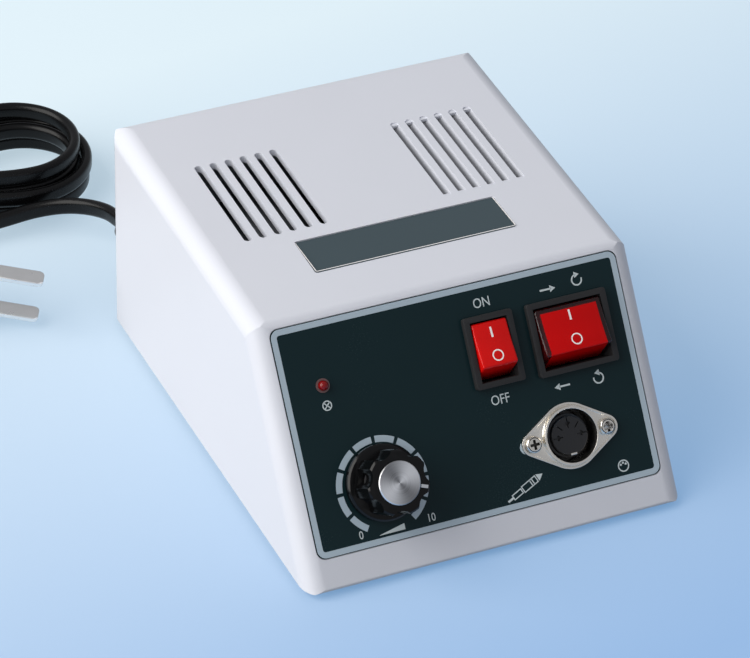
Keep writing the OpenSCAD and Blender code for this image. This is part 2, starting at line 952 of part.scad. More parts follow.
module rectifier() {
    color("black") on_board(rectifier_at) box(rectifier_size);
}

module filter_capacitor() {
    color("navy") on_board(capacitor_at) rod(capacitor_r, 0, capacitor_h);
}

module heat_sink() {
    color("silver") on_board(sink_at) {
        box(sink_size);
        for (i = [0:fin_count - 1]) {
            translate([
                (i - (fin_count - 1) / 2) * (sink_size[0] - fin_t) / (fin_count - 1),
                sink_size[1] / 2 + fin_l / 2,
                0
            ]) box([fin_t, fin_l, sink_size[2]]);
        }
    }
}

module power_transistor() {
    color("black") on_board(sink_at) translate([0, -(sink_size[1] + transistor_size[1]) / 2, 0]) {
        box(transistor_size, transistor_lift);
        for (i = [-1:1]) {
            translate([i * lead_gap, 0, 0]) box([blade_t, blade_t, transistor_lift]);
        }
    }
}

module terminal_block() {
    color("green") on_board(block_at) box(block_size);
}

// Rear wall: fuse holder with its cap and fuse, and the foot switch jack
module fuse_holder() {
    color("black") on_rear(fuse_x, fuse_z) difference() {
        union() {
            rod(fuse_flange_r, 0, fuse_flange_t);
            rod(fuse_bush_r, -fuse_depth, fuse_flange_t);
        }
        rod(fuse_cap_r - cut + seat_gap, fuse_flange_t - fuse_cap_in - seat_gap, fuse_flange_t + cut);
        rod(fuse_tube_r + seat_gap, fuse_flange_t - fuse_cap_in - fuse_l - 2 * seat_gap, 0);
    }
}

module fuse_nut() {
    color("dimgray") on_rear(fuse_x, fuse_z)
        hex_nut(2 * fuse_flange_r, fuse_bush_r + run_gap, -wall - fuse_nut_h, -wall);
}

module fuse_cap() {
    color("black") on_rear(fuse_x, fuse_z) {
        rod(fuse_cap_r, fuse_flange_t, fuse_reach);
        rod(fuse_cap_r - cut, fuse_flange_t - fuse_cap_in, fuse_flange_t);
    }
}

// The fuse lies between the cap and the bottom of the holder, a glass tube with two metal ends
module glass_fuse() {
    top = fuse_flange_t - fuse_cap_in - seat_gap;
    color("azure") on_rear(fuse_x, fuse_z)
        rod(fuse_tube_r - 2 * seat_gap, top - fuse_l + fuse_end_l, top - fuse_end_l);
}

module fuse_ends() {
    top = fuse_flange_t - fuse_cap_in - seat_gap;
    color("silver") on_rear(fuse_x, fuse_z) {
        rod(fuse_tube_r, top - fuse_end_l, top);
        rod(fuse_tube_r, top - fuse_l, top - fuse_l + fuse_end_l);
    }
}

module foot_jack() {
    color("dimgray") on_rear(jack_x, jack_z) difference() {
        union() {
            rod(jack_neck_r, -wall, jack_nut_h);
            box(jack_size, -wall - jack_size[2]);
        }
        rod(jack_bore_r, cut - wall - jack_size[2], jack_nut_h + cut);
    }
}

module foot_jack_nut() {
    color("silver") on_rear(jack_x, jack_z) ring(jack_nut_r, jack_neck_r + run_gap, 0, jack_nut_h);
}

// Gland: a lip inside the wall, a flange outside it, and a tapered sleeve
module cord_gland() {
    color("black") on_rear(gland_x, gland_z) rotate_extrude() polygon([
        [0, -wall - gland_lip_t],
        [gland_flange_r, -wall - gland_lip_t],
        [gland_flange_r, -wall],
        [gland_neck_r, -wall],
        [gland_neck_r, 0],
        [gland_flange_r, 0],
        [gland_flange_r, gland_flange_t],
        [sleeve_r, gland_flange_t],
        [sleeve_tip_r, gland_flange_t + sleeve_l],
        [0, gland_flange_t + sleeve_l]
    ]);
}

// A smooth curve through points, with a number of steps between each two
function curve_at(a, b, c, d, u) = 0.5 * (
    2 * b + (c - a) * u + (2 * a - 5 * b + 4 * c - d) * u * u + (3 * b - a - 3 * c + d) * u * u * u
);
function curve(p, steps) = let (n = len(p)) [
    for (i = [0:n - 2], k = [0:steps - 1])
        curve_at(p[max(i - 1, 0)], p[i], p[i + 1], p[min(i + 2, n - 1)], k / steps),
    p[n - 1]
];

// A flat cord swept along a path: one oval ring round each path point, square to the path and on edge.
// The path's ends are straight, so that the end rings lie flat on what they meet.
function path_dir(p, i) = let (n = len(p))
    i == 0 ? unit(p[1] - p[0]) : i == n - 1 ? unit(p[n - 1] - p[n - 2]) : unit(p[i + 1] - p[i - 1]);
function ring_points(c, dir, sides) = let (
    side = cord_t / 2 * unit(cross(dir, [0, 0, 1])),
    up = cord_d / 2 * unit(cross(side, dir))
) [for (k = [0:sides - 1]) c + cos(360 * k / sides) * side + sin(360 * k / sides) * up];

module tube(path, sides) {
    n = len(path);
    points = [for (i = [0:n - 1]) each ring_points(path[i], path_dir(path, i), sides)];
    walls = [
        for (i = [0:n - 2], k = [0:sides - 1])
            let (a = i * sides + k, b = i * sides + (k + 1) % sides)
            each [[a, b, a + sides], [b, b + sides, a + sides]]
    ];
    caps = [
        for (k = [1:sides - 2])
            each [[0, k + 1, k], [(n - 1) * sides, (n - 1) * sides + k, (n - 1) * sides + k + 1]]
    ];
    polyhedron(points, concat(walls, caps));
}

// Hank: a turn starts with the front run, heading left; folds join the front and rear runs
function loop_slot(t) = abs((t - first_reverse + 3 * layer_turns) % (2 * layer_turns) - layer_turns);
function loop_layer(t) = ease((t - first_reverse) / run_share + 0.5)
    + ease((t - first_reverse - layer_turns) / run_share + 0.5);
function drawn_in(along) = waist_in * pow(sin(180 * along), 2);
function hank_point(t) = let (
    part = t - floor(t),
    z = hank_z + hank_rise * loop_layer(t),
    r = hank_fold_r + hank_step * loop_slot(t),
    half = hank_run / 2 - hank_lean * (z - hank_z),
    front = part < 0.5,
    u = (front ? part : part - 0.5) / run_share,
    turn = (u - 1) / (0.5 / run_share - 1),
    side = front ? 1 : -1,
    x = u < 1 ? half * (1 - 2 * u) : -half - r * sin(180 * turn),
    y = u < 1 ? drawn_in(u) - r : -r * cos(180 * turn)
) [hank_x + side * x, hank_y + side * y, z];
function hank_turns(rings) = let (n = round((hank_end - hank_start) * rings)) [
    for (i = [0:n]) hank_point(hank_start + (hank_end - hank_start) * i / n)
];

// Ends of the free stretches: the sleeve's tip, the two ends of the hank, the plug's sleeve.
// Each piece runs straight for one cord width where it meets the next.
plug_dir = [
    cos(plug_heading) * cos(plug_dip),
    sin(plug_heading) * cos(plug_dip),
    -sin(plug_dip)
];
plug_tail = plug_nose - (plug_l + plug_sleeve_l) * plug_dir;
sleeve_tip = [0, gland_flange_t + sleeve_l, gland_z];
outward = [0, cord_d, 0];
leftward = [-cord_d, 0, 0];
hank_first = hank_point(hank_start) - leftward;
hank_last = hank_point(hank_end) + leftward;
hank_path = concat([hank_first], hank_turns(rings_per_loop), [hank_last]);
lead_path = concat(
    [sleeve_tip],
    curve(concat([sleeve_tip + outward], lead_route, [hank_first - leftward]), 2),
    [hank_first]
);
tail_path = concat(
    [hank_last],
    curve(concat([hank_last + leftward], tail_route, [plug_tail - cord_d * plug_dir]), 2),
    [plug_tail]
);

// Least gap between turns of the hank that are at least half a turn apart, with heights scaled so that
// the flat cord counts as a round one of its thickness
gap_rings = 48;
gap_scale = [1, 1, cord_t / cord_d];
gap_path = [for (p = hank_turns(gap_rings)) [for (k = [0:2]) p[k] * gap_scale[k]]];
gap_last = len(gap_path) - 1;
hank_gap = min([
    for (i = [0:gap_last - gap_rings / 2], j = [i + gap_rings / 2:gap_last]) norm(gap_path[i] - gap_path[j])
]) - cord_t;
echo(least_gap_in_hank = hank_gap);

module by_gland() {
    translate([gland_x, rear_y, 0]) children();
}

module cord_lead() {
    color("black") by_gland() tube(lead_path, 10);
}

module cord_hank() {
    color("black") by_gland() tube(hank_path, 6);
}

module cord_tail() {
    color("black") by_gland() tube(tail_path, 10);
}

// Tie round the waist of the hank, a flat band that clears the outermost loops
module cord_tie() {
    reach = hank_fold_r + layer_turns * hank_step - waist_in + cord_t / 2 + tie_gap;
    low = hank_z - cord_d / 2 - tie_gap;
    high = hank_z + 2 * hank_rise + cord_d / 2 + tie_gap;
    color("black") by_gland() translate([hank_x, hank_y, (low + high) / 2]) rotate([90, 0, 90])
        linear_extrude(height = tie_w, center = true) difference() {
            rounded_rect(2 * reach + 2 * tie_t, high - low + 2 * tie_t, tie_r + tie_t);
            rounded_rect(2 * reach, high - low, tie_r);
        }
}

// Plug: X along the blades, Z across them, standing on its narrow edge
module on_plug() {
    by_gland() translate(plug_nose) rotate([0, plug_dip, plug_heading]) children();
}

module plug_body() {
    color("black") on_plug() {
        intersection() {
            rotate([90, 0, 0]) linear_extrude(height = plug_t, center = true) rounded_outline([
                [-plug_l, -plug_rear_h / 2],
                [0, -plug_h / 2],
                [0, plug_h / 2],
                [-plug_l, plug_rear_h / 2]
            ], [plug_edge_r, plug_edge_r, plug_edge_r, plug_edge_r]);
            rotate([90, 0, 90]) linear_extrude(height = 2 * plug_l, center = true)
                rounded_rect(plug_t, plug_h, plug_edge_r);
        }
        rotate([0, -90, 0]) translate([0, 0, plug_l - cut])
            cylinder(h = plug_sleeve_l + cut, r1 = plug_sleeve_r, r2 = sleeve_tip_r);
    }
}

module plug_blades() {
    color("silver") on_plug() for (z = [-1, 1]) {
        translate([0, 0, z * blade_gap / 2 - blade_thick / 2]) linear_extrude(height = blade_thick) {
            translate([0, -blade_h / 2]) square([blade_l - blade_tip_r, blade_h]);
            translate([0, blade_tip_r - blade_h / 2]) square([blade_l, blade_h - 2 * blade_tip_r]);
            for (y = [-1, 1]) {
                translate([blade_l - blade_tip_r, y * (blade_h / 2 - blade_tip_r)]) circle(blade_tip_r);
            }
        }
    }
}

upper_shell();
base_plate();
rubber_feet();
base_screws();
front_overlay();
name_plate();
knob_body();
knob_cap();
knob_pointer();
knob_grub_screw();
pot_shaft();
pot_body();
pot_washer();
pot_nut();
pot_terminals();
power_switch_frame();
power_rocker();
power_switch_terminals();
direction_switch_frame();
direction_rocker();
direction_switch_terminals();
lamp_holder();
pilot_lamp();
lamp_leads();
socket_flange();
socket_insert();
socket_contacts();
socket_screws();
socket_nuts();
transformer_core();
transformer_coil();
transformer_bracket();
transformer_screws();
circuit_board();
board_standoffs();
board_screws();
rectifier();
filter_capacitor();
power_transistor();
heat_sink();
terminal_block();
fuse_holder();
fuse_nut();
fuse_cap();
glass_fuse();
fuse_ends();
foot_jack();
foot_jack_nut();
cord_gland();
cord_lead();
cord_hank();
cord_tail();
cord_tie();
plug_body();
plug_blades();
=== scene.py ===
"""Finishes, panel print, rockers, knob cap, plug and mains cord of a dental micromotor's control box."""

import json
import math

import bmesh
import bpy
from bpy.props import FloatProperty, FloatVectorProperty, PointerProperty
from mathutils import Matrix, Vector


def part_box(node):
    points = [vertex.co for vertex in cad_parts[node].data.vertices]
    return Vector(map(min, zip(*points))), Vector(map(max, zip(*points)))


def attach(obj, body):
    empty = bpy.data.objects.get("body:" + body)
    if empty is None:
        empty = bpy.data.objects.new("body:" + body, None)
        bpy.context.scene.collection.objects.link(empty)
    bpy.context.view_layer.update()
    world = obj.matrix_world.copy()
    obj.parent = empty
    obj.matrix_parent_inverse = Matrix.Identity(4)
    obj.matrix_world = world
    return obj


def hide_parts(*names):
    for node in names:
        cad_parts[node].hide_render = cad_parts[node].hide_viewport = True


bl_info = {
    "name": "Dental micromotor",
    "version": (1, 0, 0),
    "blender": (4, 5, 0),
    "location": "3D View > Sidebar > Micromotor",
    "description": "Models the looks of a dental micromotor's control box on its packed frame",
    "category": "Add Mesh",
}

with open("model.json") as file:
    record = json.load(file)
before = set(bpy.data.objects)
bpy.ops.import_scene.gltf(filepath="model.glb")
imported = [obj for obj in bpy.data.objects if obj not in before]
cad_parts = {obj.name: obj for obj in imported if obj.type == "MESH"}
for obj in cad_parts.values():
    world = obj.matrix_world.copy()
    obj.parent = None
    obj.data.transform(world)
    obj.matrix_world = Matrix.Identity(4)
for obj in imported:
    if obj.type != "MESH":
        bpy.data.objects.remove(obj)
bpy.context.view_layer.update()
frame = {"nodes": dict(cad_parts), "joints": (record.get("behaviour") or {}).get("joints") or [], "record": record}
MM = 0.001
JOINTS = {joint["name"]: joint for joint in frame["joints"]}
SLOTS = {part["node"]: part["material_slot"] for part in frame["record"]["subparts"]}

# The front panel's directions, and the thickness of its film
RIGHT = Vector((1, 0, 0))
OUT = Vector(JOINTS["speed_turn"]["axis"])
UP = Vector((0, OUT.z, -OUT.y))
PANEL_AXES = Matrix((RIGHT, UP, OUT)).transposed().to_4x4()
FILM_T = 0.6 * MM
FILM_PROUD = 0.1 * MM

# Places on the panel in mm from the middle of its film, and the screws' reach from the socket's middle
KNOB_AT = (-29.6, -15.17)
SOCKET_AT = (26.9, -15.37)
SCREW_REACH = 11.2

# The blind grooves: slope of the top in degrees, middle and half size of the group, the depths between which
# painted shade darkens them towards the bottom, and the share of the colour left where it is darkest
TOP_FALL = 2.21
GROOVES_AT = (30.2, 21.99, 65.75)
GROOVES_REACH = (13.5, 19.5)
GROOVE_SHADE_DEPTHS = (0.7, 1.6)
GROOVE_SHADE_TONE = 0.1

# Letters: a capital's share of the type's size, and their width against the type's own
CAPITAL_SHARE = 0.7
LETTER_WIDTH = 0.84

# Grains to the metre
MOULD_GRAIN = 2400
MOULD_CLOUD = 45
METAL_SCRATCH = 1800
METAL_STAIN = 160
LATHE_RINGS = 14000.0
LATHE_DEPTH = 0.004 * MM


def tone(red, green, blue):
    """A colour as it looks on a screen, 0 to 255, as the linear colour that a shader takes."""
    levels = (level / 255 for level in (red, green, blue))
    linear = [c / 12.92 if c <= 0.04045 else ((c + 0.055) / 1.055) ** 2.4 for c in levels]
    return (*linear, 1.0)


def scaled(colour, factor):
    """A colour made lighter or darker."""
    return tuple(channel * factor for channel in colour[:3]) + (1.0,)


def finish(name):
    """A finish that has been made, by its short name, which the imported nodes' plain materials have too."""
    return bpy.data.materials["look_" + name]


class Value:
    """A shader socket that takes part in sums: each sum adds a Math node."""

    def __init__(self, paint, socket):
        self.paint = paint
        self.socket = socket

    def math(self, operation, first, second):
        return self.paint.node("ShaderNodeMath", {"operation": operation}, {0: first, 1: second})

    def __add__(self, other):
        return self.math("ADD", self, other)

    def __radd__(self, other):
        return self.math("ADD", other, self)

    def __sub__(self, other):
        return self.math("SUBTRACT", self, other)

    def __mul__(self, other):
        return self.math("MULTIPLY", self, other)


class Paint:
    """A material in the making: nodes are added to it, and its surface comes last."""

    def __init__(self, name):
        self.material = bpy.data.materials.new("look_" + name)
        self.material.use_nodes = True
        self.tree = self.material.node_tree
        self.tree.nodes.clear()

    def node(self, kind, settings=None, sockets=None, out=0):
        """Adds a node, with its settings first, and returns one of its outputs."""
        node = self.tree.nodes.new(kind)
        for name, value in (settings or {}).items():
            if name == "stops":
                for element, (place, colour) in zip(node.color_ramp.elements, value):
                    element.position = place
                    element.color = colour
            else:
                setattr(node, name, value)
        for name, value in (sockets or {}).items():
            if isinstance(value, Value):
                self.tree.links.new(value.socket, node.inputs[name])
            else:
                node.inputs[name].default_value = value
        return Value(self, node.outputs[out]) if node.outputs else None

    def place(self, stretch=(1, 1, 1)):
        """Object coordinates, stretched along the axes."""
        here = self.node("ShaderNodeTexCoord", out="Object")
        if stretch == (1, 1, 1):
            return here
        return self.node("ShaderNodeMapping", {}, {"Vector": here, "Scale": stretch})

    def local(self, spot):
        """Coordinates from a spot's own middle and along its own axes."""
        here = self.node("ShaderNodeTexCoord", out="Object")
        sockets = {"Vector": here, "Location": spot.translation, "Rotation": spot.to_euler()}
        return self.node("ShaderNodeMapping", {"vector_type": "TEXTURE"}, sockets)

    def noise(self, scale, detail=2.0, stretch=(1, 1, 1)):
        """Noise from 0 to 1, with about that many grains to the metre."""
        return self.node(
            "ShaderNodeTexNoise", {}, {"Vector": self.place(stretch), "Scale": scale, "Detail": detail}
        )

    def mix(self, factor, first, second):
        """One colour turning into another."""
        sockets = {0: factor, 6: first, 7: second}
        return self.node("ShaderNodeMix", {"data_type": "RGBA"}, sockets, 2)

    def relief(self, height, depth, edge=0.0):
        """A normal with that height at that depth, over edges that look rounded by the edge radius."""
        sockets = {"Height": height, "Distance": depth, "Strength": 1.0}
        if edge:
            sockets["Normal"] = self.node("ShaderNodeBevel", {"samples": 4}, {"Radius": edge})
        return self.node("ShaderNodeBump", {}, sockets)

    def surface(self, **sockets):
        """Ends the material in one surface shader and returns it."""
        named = {name.replace("_", " "): value for name, value in sockets.items()}
        shader = self.node("ShaderNodeBsdfPrincipled", {}, named)
        self.node("ShaderNodeOutputMaterial", {}, {"Surface": shader})
        return self.material


def painted_groove_shade(paint, base, shaded_colour):
    """A colour with painted shade: darker towards the bottom of the blind grooves in the top, in place of their
    shadow.
    """
    turn = Matrix.Rotation(math.radians(TOP_FALL), 4, "X")
    here = paint.local(Matrix.Translation(Vector(GROOVES_AT) * MM) @ turn)
    height = paint.node("ShaderNodeSeparateXYZ", {}, {0: here}, 2)
    unshaded, darkest = GROOVE_SHADE_DEPTHS
    share = paint.node(
        "ShaderNodeMath", {"operation": "MULTIPLY_ADD", "use_clamp": True},
        {0: height, 1: -1 / ((darkest - unshaded) * MM), 2: -unshaded / (darkest - unshaded)},
    )
    for axis, reach in enumerate(GROOVES_REACH):
        place = paint.node("ShaderNodeSeparateXYZ", {}, {0: here}, axis)
        inside = {0: place, 1: 0.0, 2: reach * MM}
        share = share * paint.node("ShaderNodeMath", {"operation": "COMPARE"}, inside)
    return paint.mix(share, base, shaded_colour)


def moulded(name, colour, rough, grain=0.006 * MM, edge=0.0, cloud=0.03, shaded_grooves=False, **more):
    """Moulded plastic: a fine grain, a slow change of tone and gloss, and, where asked, painted shade towards the
    bottom of the blind grooves in the top.
    """
    paint = Paint(name)
    fine = paint.noise(MOULD_GRAIN, 3.0)
    broad = paint.noise(MOULD_CLOUD)
    base = paint.mix(broad, scaled(colour, 1 - cloud), scaled(colour, 1 + cloud))
    # painted shade: the colour darkens towards the bottom of the top's blind grooves
    if shaded_grooves:
        base = painted_groove_shade(paint, base, scaled(colour, GROOVE_SHADE_TONE))
    gloss = rough + (broad - 0.5) * 0.1 + (fine - 0.5) * 0.08
    paint.surface(
        Base_Color=base, Roughness=gloss, Normal=paint.relief(fine, grain, edge), **more
    )


def metal(name, colour, rough, stretch=(1, 1, 1), edge=0.0, scratch=0.004 * MM):
    """Plated or drawn metal, with fine scratches along one direction and a slow stain."""
    paint = Paint(name)
    lines = paint.noise(METAL_SCRATCH, 4.0, stretch)
    stain = paint.noise(METAL_STAIN)
    base = paint.mix(stain, scaled(colour, 0.9), scaled(colour, 1.06))
    gloss = rough + (lines - 0.5) * 0.16 + (stain - 0.5) * 0.12
    paint.surface(
        Base_Color=base, Metallic=1.0, Roughness=gloss, Normal=paint.relief(lines, scratch, edge)
    )


def spun_with_painted_sheen(name, dark, light, spot):
    """Metal faced on a lathe: fine rings about the spot's middle, and a painted sheen, a fan of lighter and darker
    sectors in the colour about the same middle.
    """
    paint = Paint(name)
    here = paint.local(spot)
    across = paint.node("ShaderNodeVectorMath", {"operation": "LENGTH"}, {0: here}, "Value")
    sockets = {"W": across, "Scale": LATHE_RINGS}
    rings = paint.node("ShaderNodeTexNoise", {"noise_dimensions": "1D"}, sockets)
    round_it = paint.node("ShaderNodeTexGradient", {"gradient_type": "RADIAL"}, {0: here}, 1)
    # painted sheen: two lighter and two darker sectors round the middle, in the base colour
    painted_sheen = paint.node("ShaderNodeMath", {"operation": "SINE"}, {0: round_it * (4 * math.pi) + 0.5})
    base = paint.mix(0.5 + painted_sheen * 0.42 + (rings - 0.5) * 0.3, dark, light)
    paint.surface(
        Base_Color=base, Metallic=1.0, Roughness=0.35 + (rings - 0.5) * 0.2,
        Normal=paint.relief(rings, LATHE_DEPTH),
    )


def make_finishes():
    """Makes every finish: one for each material slot, and those that only new pieces wear."""
    look = bpy.context.scene.micromotor_looks
    white = (*look.housing, 1.0)
    # the housing's finish has painted shade towards the bottom of its blind grooves
    moulded("housing_plastic", white, 0.42, 0.004 * MM, cloud=0.012, shaded_grooves=True)
    moulded("base_plastic", tone(196, 198, 202), 0.5, edge=0.3 * MM)
    moulded("foot_rubber", tone(38, 38, 39), 0.8, 0.02 * MM, 0.3 * MM)
    metal("screw_steel", tone(200, 200, 202), 0.3, edge=0.12 * MM)
    moulded("overlay_film", (*look.overlay, 1.0), 0.25, 0.001 * MM, 0.0, 0.05, Specular_IOR_Level=0.15)
    moulded("plate_film", (*look.plate, 1.0), 0.4, 0.001 * MM)
    moulded("knob_plastic", tone(7, 7, 8), 0.16, 0.001 * MM, Specular_IOR_Level=0.25)
    metal("knob_aluminium", tone(228, 230, 232), 0.25, edge=0.05 * MM)
    # the cap's finish has lathe rings and a painted sheen
    spun_with_painted_sheen("spun_aluminium", tone(128, 128, 130), tone(250, 250, 251), joint_spot("speed_turn"))
    metal("grub_steel", tone(120, 120, 122), 0.4)
    metal("shaft_steel", tone(205, 205, 207), 0.3)
    moulded("pot_plastic", tone(60, 48, 40), 0.5)
    metal("pot_steel", tone(190, 192, 194), 0.35)
    metal("terminal_brass", tone(212, 180, 104), 0.35)
    moulded("frame_plastic", tone(44, 44, 45), 0.5, 0.014 * MM, Specular_IOR_Level=0.2)
    moulded("power_red", tone(208, 12, 9), 0.16, 0.001 * MM, Specular_IOR_Level=0.2)
    moulded("direction_red", tone(192, 3, 4), 0.2, 0.001 * MM, Specular_IOR_Level=0.15)
    moulded("lamp_rim", tone(104, 76, 76), 0.3)
    moulded("lamp_lens", tone(120, 4, 6), 0.1, 0.001 * MM, Specular_IOR_Level=0.35)
    metal("socket_nickel", tone(240, 235, 226), 0.24, scratch=0.0008 * MM)
    moulded("socket_black", tone(26, 26, 28), 0.4, 0.012 * MM, 0.1 * MM)
    metal("core_steel", tone(64, 66, 70), 0.5, (0.05, 1, 0.05))
    metal("coil_copper", tone(186, 108, 66), 0.35, (0.05, 0.05, 1))
    metal("strap_steel", tone(120, 122, 124), 0.35)
    moulded("board_green", tone(34, 96, 58), 0.35)
    moulded("spacer_nylon", tone(226, 224, 212), 0.5)
    moulded("part_black", tone(28, 28, 29), 0.45)
    moulded("capacitor_blue", tone(32, 48, 92), 0.3)
    metal("sink_aluminium", tone(196, 198, 202), 0.4, (1, 1, 0.05))
    moulded("block_green", tone(44, 128, 74), 0.45)
    moulded("holder_black", tone(26, 26, 27), 0.4, 0.008 * MM, 0.3 * MM)
    moulded("fuse_glass", tone(236, 240, 240), 0.05, Transmission_Weight=0.9)
    metal("fuse_metal", tone(206, 206, 204), 0.25)
    metal("jack_nickel", tone(210, 210, 206), 0.22, edge=0.12 * MM)
    moulded("cord_rubber", tone(10, 10, 11), 0.28, 0.006 * MM, Specular_IOR_Level=0.22)
    moulded("plug_rubber", tone(24, 24, 25), 0.42, 0.012 * MM, 0.3 * MM)
    metal("blade_nickel", tone(246, 244, 241), 0.3, (0.1, 0.1, 1), scratch=0.001 * MM)
    moulded("panel_print", (*look.border, 1.0), 0.45, 0.002 * MM)
    moulded("label_print", (*look.label, 1.0), 0.45, 0.002 * MM)
    # white of the rockers' printed marks, also used for the painted highlight on the name plate's rim
    moulded("legend_white", tone(240, 236, 234), 0.35, 0.001 * MM)
    moulded(
        "smoked_clear", tone(104, 24, 26), 0.1, 0.001 * MM, Transmission_Weight=0.9, IOR=1.45,
        Specular_IOR_Level=0.2,
    )
    # painted shade for the faces inside the screws' cross recesses
    metal("contact_dark", tone(70, 68, 66), 0.4)


def ink():
    """The thickness of a printed mark."""
    return bpy.context.scene.micromotor_sizes.ink


def add(kind, **settings):
    """Adds a primitive at its size and place, with all else deselected, and opens it for editing."""
    bpy.ops.object.select_all(action="DESELECT")
    getattr(bpy.ops.mesh, f"primitive_{kind}_add")(**settings)
    bpy.ops.object.transform_apply(location=True, rotation=True, scale=True)
    bpy.ops.object.mode_set(mode="EDIT")


def block(size, at):
    """Adds a block of that size at that place, both in mm, and opens it for editing."""
    add("cube", size=1, scale=[side * MM for side in size], location=[place * MM for place in at])


def hold(piece):
    """Selects one piece alone and makes it the active one."""
    bpy.ops.object.select_all(action="DESELECT")
    piece.select_set(True)
    bpy.context.view_layer.objects.active = piece


def take_all():
    """Selects the whole mesh in edit mode."""
    bpy.ops.mesh.select_all(action="SELECT")


def pull(*by):
    """Extrudes what is selected."""
    bpy.ops.mesh.extrude_region_move(TRANSFORM_OT_translate={"value": by})


def slice_mesh(place, across):
    """Cuts new edges into the whole mesh, in the plane through the place."""
    take_all()
    bpy.ops.mesh.bisect(plane_co=place, plane_no=across)


def groove(margin, depth):
    """Sinks each selected face within its own margin."""
    bpy.ops.mesh.inset(thickness=margin * MM, use_individual=True)
    bpy.ops.mesh.extrude_region_shrink_fatten(TRANSFORM_OT_shrink_fatten={"value": -depth * MM})


def middle(part):
    """The middle of a vertex, an edge or a face."""
    if isinstance(part, bmesh.types.BMVert):
        return part.co
    if isinstance(part, bmesh.types.BMEdge):
        return (part.verts[0].co + part.verts[1].co) / 2
    return part.calc_center_median()


def pick(kind, test):
    """Selects the vertices, edges or faces whose middle passes the test, and nothing else."""
    bpy.ops.mesh.select_mode(type=kind)
    bpy.ops.mesh.select_all(action="DESELECT")
    mesh = bmesh.from_edit_mesh(bpy.context.object.data)
    for part in {"VERT": mesh.verts, "EDGE": mesh.edges, "FACE": mesh.faces}[kind]:
        part.select_set(bool(test(middle(part))))
    mesh.select_flush_mode()
    bmesh.update_edit_mesh(bpy.context.object.data)


def move(*by):
    """Moves what is selected."""
    bpy.ops.transform.translate(value=by)


def close_shape():
    """Merges doubles, turns every face outwards and leaves edit mode."""
    take_all()
    bpy.ops.mesh.remove_doubles(threshold=0.0005 * MM)
    bpy.ops.mesh.normals_make_consistent(inside=False)
    bpy.ops.object.mode_set(mode="OBJECT")
    return bpy.context.object


def thicken(height):
    """Turns a flat sheet in edit mode into a thin closed plate."""
    take_all()
    pull(0, 0, height)
    return close_shape()


def lathe(profile, steps):
    """Spins a line of (radius, height) points about Z into a closed turned shape."""
    add("plane", size=0.1 * MM)
    bpy.ops.mesh.select_mode(type="VERT")
    take_all()
    bpy.ops.mesh.merge(type="CENTER")
    move(profile[0][0], 0, profile[0][1])
    for (r0, z0), (r1, z1) in zip(profile, profile[1:]):
        pull(r1 - r0, 0, z1 - z0)
    take_all()
    bpy.ops.mesh.spin(steps=steps, angle=2 * math.pi, center=(0, 0, 0), axis=(0, 0, 1))
    return close_shape()


def modify(piece, kind, **settings):
    """Adds a modifier to a piece and applies it."""
    hold(piece)
    modifier = piece.modifiers.new(kind, kind)
    for name, value in settings.items():
        setattr(modifier, name, value)
    bpy.ops.object.modifier_apply(modifier=modifier.name)


def round_edges(piece, width, segments=3, angle=35):
    """Rounds the sharp edges of a piece."""
    modify(
        piece, "BEVEL", width=width, segments=segments, limit_method="ANGLE",
        angle_limit=math.radians(angle), use_clamp_overlap=True,
    )


def joined(*pieces):
    """Several pieces as one."""
    bpy.ops.object.select_all(action="DESELECT")
    for piece in pieces:
        piece.select_set(True)
    bpy.context.view_layer.objects.active = pieces[0]
    bpy.ops.object.join()
    return bpy.context.object


def put(piece, matrix):
    """Puts a piece in its place, in its mesh."""
    piece.data.transform(matrix)
    return piece


def settle(piece, name, body, slot, stands_for=(), paint=None, smooth=35):
    """Names and smooths a piece that is in its place, and gives it its finish and its body."""
    hold(piece)
    bpy.ops.object.shade_smooth_by_angle(angle=math.radians(smooth))
    piece.name = name
    piece.data.name = name
    piece.data.materials.clear()
    piece.data.materials.append(finish(paint or slot))
    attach(piece, body)
    if stands_for:
        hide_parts(*stands_for)
    return piece


def node_copy(node):
    """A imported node's shape as a mesh that can be worked on, with its flat faces whole."""
    piece = bpy.data.objects.new(node + "_copy", frame["nodes"][node].data.copy())
    bpy.context.scene.collection.objects.link(piece)
    hold(piece)
    bpy.ops.object.mode_set(mode="EDIT")
    take_all()
    bpy.ops.mesh.remove_doubles(threshold=0.001 * MM)
    bpy.ops.mesh.dissolve_limited(angle_limit=math.radians(1))
    bpy.ops.object.mode_set(mode="OBJECT")
    return piece


def panel_spot(x, y, lift=0.0):
    """The place of a mark on the front panel, in mm from the middle of its film."""
    low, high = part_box("front_overlay")
    face = (low + high) / 2 + OUT * FILM_T / 2
    spot = face + RIGHT * x * MM + UP * y * MM + OUT * lift
    return Matrix.Translation(spot) @ PANEL_AXES


def joint_spot(name, tilt=0.0):
    """The place of a joint's axis, turned about X by the tilt in degrees."""
    spot = Matrix.Translation(Vector(JOINTS[name]["pos_m"]))
    return spot @ PANEL_AXES @ Matrix.Rotation(math.radians(tilt), 4, "X")


